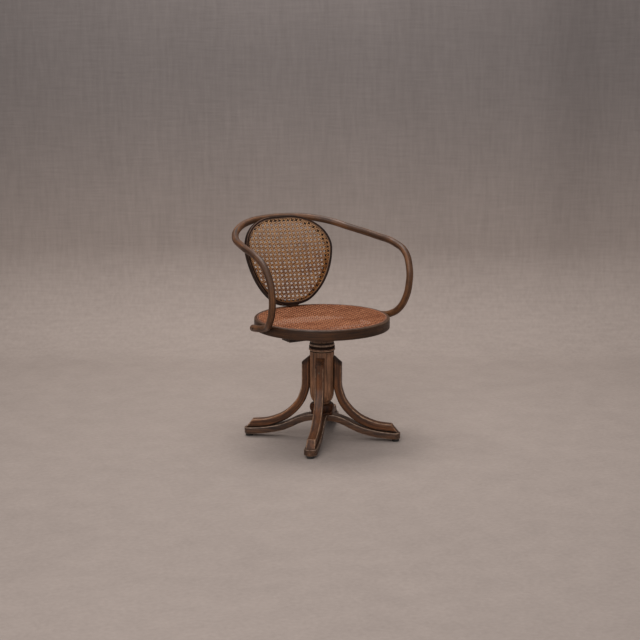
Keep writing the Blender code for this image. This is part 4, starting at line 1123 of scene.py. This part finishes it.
# Seat's spline
# A strip of reed is glued into the ring's groove over the cane's ends, and holds them down.
spline_low, spline_high = SEAT_TOP - 0.0058, SEAT_TOP + 0.0007
spline_in, spline_out = SEAT_GROOVE[0] + 0.0002, SEAT_GROOVE[1] + 0.0002
spline_line = soften([(spline_in, spline_low, 0), (spline_out, spline_low, 0),
                      (spline_out, spline_high, 0.0018), (spline_in, spline_high, 0.0018)], closed=True)
spline_line = [(radius, height, 0.0) for radius, height, _ in spline_line]
seat_reed = stained_beech("seat_reed", (0.16, 0.060, 0.032), (0.34, 0.150, 0.085),
                          (0.36, 0.2, 0.13), 0.35, 0.4)
seat_spline = bent_round("seat_spline", seat_reed, spline_line)
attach(seat_spline, "seat")

# Bent rod
# One round beech rod, steamed and bent, makes the back rail and both arms. Its ends run a
# hand's length along the ring's sides, with two screws in each, and are sawn off square.
ROD_R = 0.0118
ROD_LINE = [
    (90.0, 0.1015, 0.2998), (80.41, 0.1001, 0.2988), (71.07, 0.0967, 0.2958), (57.06, 0.0881, 0.2838),
    (40.81, 0.0699, 0.2638), (16.82, 0.0395, 0.2488), (-7.36, 0.0433, 0.2348), (-19.19, 0.0591, 0.2108),
    (-25.36, 0.0668, 0.1648), (-26.85, 0.0663, 0.1208), (-24.96, 0.0547, 0.0600), (-18.71, 0.0335, 0.0145),
]
ROD_FOOT = [(-13, 0.0022, 0.0052), (-6, 0.0115, 0.0003), (3, 0.0180, 0.0), (12.5, 0.0235, 0.0)]
ROD_FOOT_R = SEAT_R + ROD_R + 0.0005


def auto_curve(points, steps):
    """Points along a Bezier curve with automatic handles through the given ones."""
    data = bpy.data.curves.new("guide", "CURVE")
    data.dimensions = "3D"
    spline = data.splines.new("BEZIER")
    spline.bezier_points.add(len(points) - 1)
    for target, point in zip(spline.bezier_points, points):
        target.co = point
        target.handle_left_type = "AUTO"
        target.handle_right_type = "AUTO"
    guide = set_out("guide", data)
    bpy.context.view_layer.update()
    found = []
    for near, far in zip(spline.bezier_points, list(spline.bezier_points)[1:]):
        bend = (near.co, near.handle_right, far.handle_left, far.co)
        found += geometry.interpolate_bezier(*bend, steps + 1)[:-1]
    found.append(spline.bezier_points[-1].co.copy())
    bpy.data.objects.remove(guide)
    return found


half = [around(math.radians(angle), SEAT_R + reach, SEAT_TOP + rise) for angle, reach, rise in ROD_LINE]
half += [around(math.radians(angle), ROD_FOOT_R + away, SEAT_TOP - fall) for angle, fall, away in ROD_FOOT]
other = [Vector((-point.x, point.y, point.z)) for point in half[:0:-1]]
rod_path = auto_curve(other + half, 9)
rows = []
run = 0.0
upward = Vector((0, 0, 1))
for index, point in enumerate(rod_path):
    along = along_at(rod_path, index)
    upward = (upward - along * upward.dot(along)).normalized()
    sideways = along.cross(upward)
    if index:
        run += (point - rod_path[index - 1]).length
    row = []
    for turn in turns(28):
        aside, up = ROD_R * math.cos(turn), ROD_R * math.sin(turn)
        row.append((point + sideways * aside + upward * up, (run, aside, up), 0.0))
    rows.append(row)


def middle_of(row):
    """The middle of a ring of points."""
    return sum((place for place, _, _ in row), Vector()) / len(row)


def sawn_end(row, inner):
    """The face and the worn rim of a rod's end, from its last two rings."""
    centre = middle_of(row)
    back = (middle_of(inner) - centre) * 0.12
    face = [(place.lerp(centre, 0.12), grain, -0.6) for place, grain, _ in row]
    return face, [(place + back, grain, 0.2) for place, grain, _ in row]


first_face, first_rim = sawn_end(rows[0], rows[1])
last_face, last_rim = sawn_end(rows[-1], rows[-2])
rows = [first_face, first_rim, *rows[1:-1], last_rim, last_face]
rod_beech = stained_beech("rod_beech", (0.047, 0.017, 0.006), (0.225, 0.093, 0.034),
                          (0.35, 0.200, 0.115), 0.6, 0.5, 0.34)
rod = skin("bent_beech_rod", rod_beech, rows)
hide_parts("bent_rod")
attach(rod, "seat")

# Back frame and its foot block
# A square beech stick is bent to an egg shape and curved to the sitter's back. It is screwed to
# the rail above, and below a small block stands between it and the seat ring.
PANEL_TILT = math.radians(19)
PANEL_CURVE = 1.5
PANEL_BASE = AXIS + Vector((0, 0.197, 0.4335))
PANEL_OUTLINE = [(0.000, 0.000), (0.060, 0.009), (0.109, 0.047), (0.144, 0.099), (0.164, 0.158),
                 (0.1675, 0.206), (0.149, 0.254), (0.111, 0.291), (0.060, 0.312), (0.000, 0.316)]
FRAME_WIDTH = 0.0175
FRAME_DEPTH = 0.024
BACK_GROOVE = (0.0080, 0.0115)
panel_place = Matrix.Translation(PANEL_BASE) @ Matrix.Rotation(math.pi / 2 - PANEL_TILT, 4, "X")
outline_knots = PANEL_OUTLINE + [(-x, y) for x, y in PANEL_OUTLINE[-2:0:-1]]
outline_line = curve_through(outline_knots, 12, closed=True)


def panel_line(inset):
    """The panel's outline drawn in from its edge, with the distance run at each point."""
    found, run = [], 0.0
    count = len(outline_line)
    for index, point in enumerate(outline_line):
        along = (outline_line[(index + 1) % count] - outline_line[index - 1]).normalized()
        found.append((Vector((point.x - along.y * inset, point.y + along.x * inset)), run))
        run += (outline_line[(index + 1) % count] - point).length
    return found


def panel_sweep(name, finish, section):
    """A closed sweep round the panel of (inset, out of the face, level) points; the levels count fully on the
    left, as a painted highlight, and weakly elsewhere.
    """
    lines = [(panel_line(inset), inset, out, wear_and_light) for inset, out, wear_and_light in section]
    rows = []
    for index in range(len(outline_line)):
        row = []
        for line, inset, out, wear_and_light in lines:
            point, run = line[index]
            place = panel_place @ Vector((point.x, point.y, out + PANEL_CURVE * point.x ** 2))
            # Painted highlight: the edge levels count fully on the panel's left, where the front edge catches
            # light, and at three tenths elsewhere.
            row.append((place, (run, inset, out), wear_and_light * (1.0 if point.x < -0.04 else 0.3)))
        rows.append(row)
    return skin(name, finish, rows, joined=True)


frame_section = soften([
    (0, 0, 0.0045), (BACK_GROOVE[0], 0, 0.0005), (BACK_GROOVE[0], -0.004, 0.0004),
    (BACK_GROOVE[1], -0.004, 0.0004), (BACK_GROOVE[1], -0.0004, 0.0006), (FRAME_WIDTH, -0.0010, 0.0030),
    (FRAME_WIDTH, -FRAME_DEPTH, 0.0085), (0, -FRAME_DEPTH, 0.0050),
], closed=True)
frame_beech = stained_beech("frame_beech", (0.010, 0.004, 0.002), (0.042, 0.017, 0.008),
                            (0.22, 0.130, 0.090), 0.5, 0.55, 0.12)
back_frame = panel_sweep("bent_back_frame", frame_beech, frame_section)
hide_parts("back_frame")
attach(back_frame, "seat")

foot_block = board("foot_block", frame_beech, "back_foot_block", 0.0012, "X")
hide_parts("back_foot_block")
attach(foot_block, "seat")

# Back cane and its spline
# The same weave at a wider pitch, golden tan, is stretched over the frame's front. A reed strip
# in a groove holds it, and inside the strip the first holes lie on the dark wood.
# The back cane's third tone is painted shade where strands pass under others.
back_rattan = split_rattan("back_rattan", (0.51, 0.240, 0.072), (0.155, 0.050, 0.011), (0.032, 0.010, 0.003))
PANEL_MIDDLE = 0.158
PITCH_ACROSS, PITCH_UP = 0.0168, 0.0148
back_outline = [(point.x, point.y - PANEL_MIDDLE) for point, _ in panel_line(0.0100)]
woven_back = outline_face("back_cane_weave", back_outline)
grow(woven_back, weave_tree, Pitch_Across=PITCH_ACROSS, Pitch_Up=PITCH_UP, Pair_Offset=0.0022,
     Strand_Width=0.0028, Strand_Thickness=0.0009, Pair_Lift=0.00058, Slant_Lift=0.00095, Reach=0.19,
     Turn=math.radians(-2.5), Middle=(PITCH_ACROSS / 2, PITCH_UP / 2 - 0.0013, 0), Drift=-0.8, Sag=0.0,
     Sag_Radius=1.0, Curve=PANEL_CURVE, Step=0.0026, Squares=True, Slants=True, Seed=9, Finish=back_rattan)
woven_back.data.transform(panel_place @ Matrix.Translation((0, PANEL_MIDDLE, 0.0011)))
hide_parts("back_cane")
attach(woven_back, "seat")

spline_out, spline_in, spline_low = BACK_GROOVE[0] + 0.0002, BACK_GROOVE[1] - 0.0002, -0.0038
spline_line = soften([(spline_out, spline_low, 0), (spline_in, spline_low, 0),
                      (spline_in, 0.0026, 0.0018), (spline_out, 0.0020, 0.0018)], closed=True)
spline_line = [(inset, out, 0.0) for inset, out, _ in spline_line]
back_reed = stained_beech("back_reed", (0.09, 0.038, 0.016), (0.30, 0.150, 0.068),
                          (0.4, 0.25, 0.16), 0.45, 0.4)
back_spline = panel_sweep("back_spline", back_reed, spline_line)
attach(back_spline, "seat")

# Screws of the seat
# They hold the plate to the boards, the boards and the rod's feet to the ring, and the back
# frame to the rail and the block.
SCREW_PLACES = {"plate": (0.030, 0.075, plate_low.z), "bearer": (0.170, 0.085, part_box("front_bearer")[0].z)}
HANDS = {"left": 1, "right": -1}
seat_screws = []
for side_name, back in (("front", -1), ("rear", 1)):
    for hand, way in HANDS.items():
        for part, (x, y, height) in SCREW_PLACES.items():
            place = AXIS + Vector((way * x, back * y, height - PROUD))
            seat_screws.append((f"{part}_screw_{side_name}_{hand}", place, (0, 0, 1)))
for hand, way in HANDS.items():
    for end, angle in (("front", -5), ("rear", 6)):
        fall = level_at([(a, b) for a, b, _ in ROD_FOOT], angle)
        place = around(math.radians(angle), ROD_FOOT_R + ROD_R, SEAT_TOP - fall)
        inward = -heading(math.radians(angle))
        seat_screws.append((f"rod_screw_{hand}_{end}", Vector((place.x * way, place.y, place.z)),
                            Vector((inward.x * way, inward.y, 0))))
    inward = Vector((0, -math.cos(PANEL_TILT), -math.sin(PANEL_TILT)))
    angle, reach, rise = ROD_LINE[1]
    place = around(math.radians(angle), SEAT_R + reach, SEAT_TOP + rise)
    place.x *= way
    seat_screws.append((f"back_screw_{hand}", place - inward * (ROD_R - PROUD), inward))
lowest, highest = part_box("back_foot_screw")
middle = (lowest + highest) / 2
seat_screws.append(("back_foot_screw", (middle.x, middle.y, RING_BOTTOM - PROUD), (0, 0, 1)))
drive_screws("seat_screws", "seat", seat_screws)
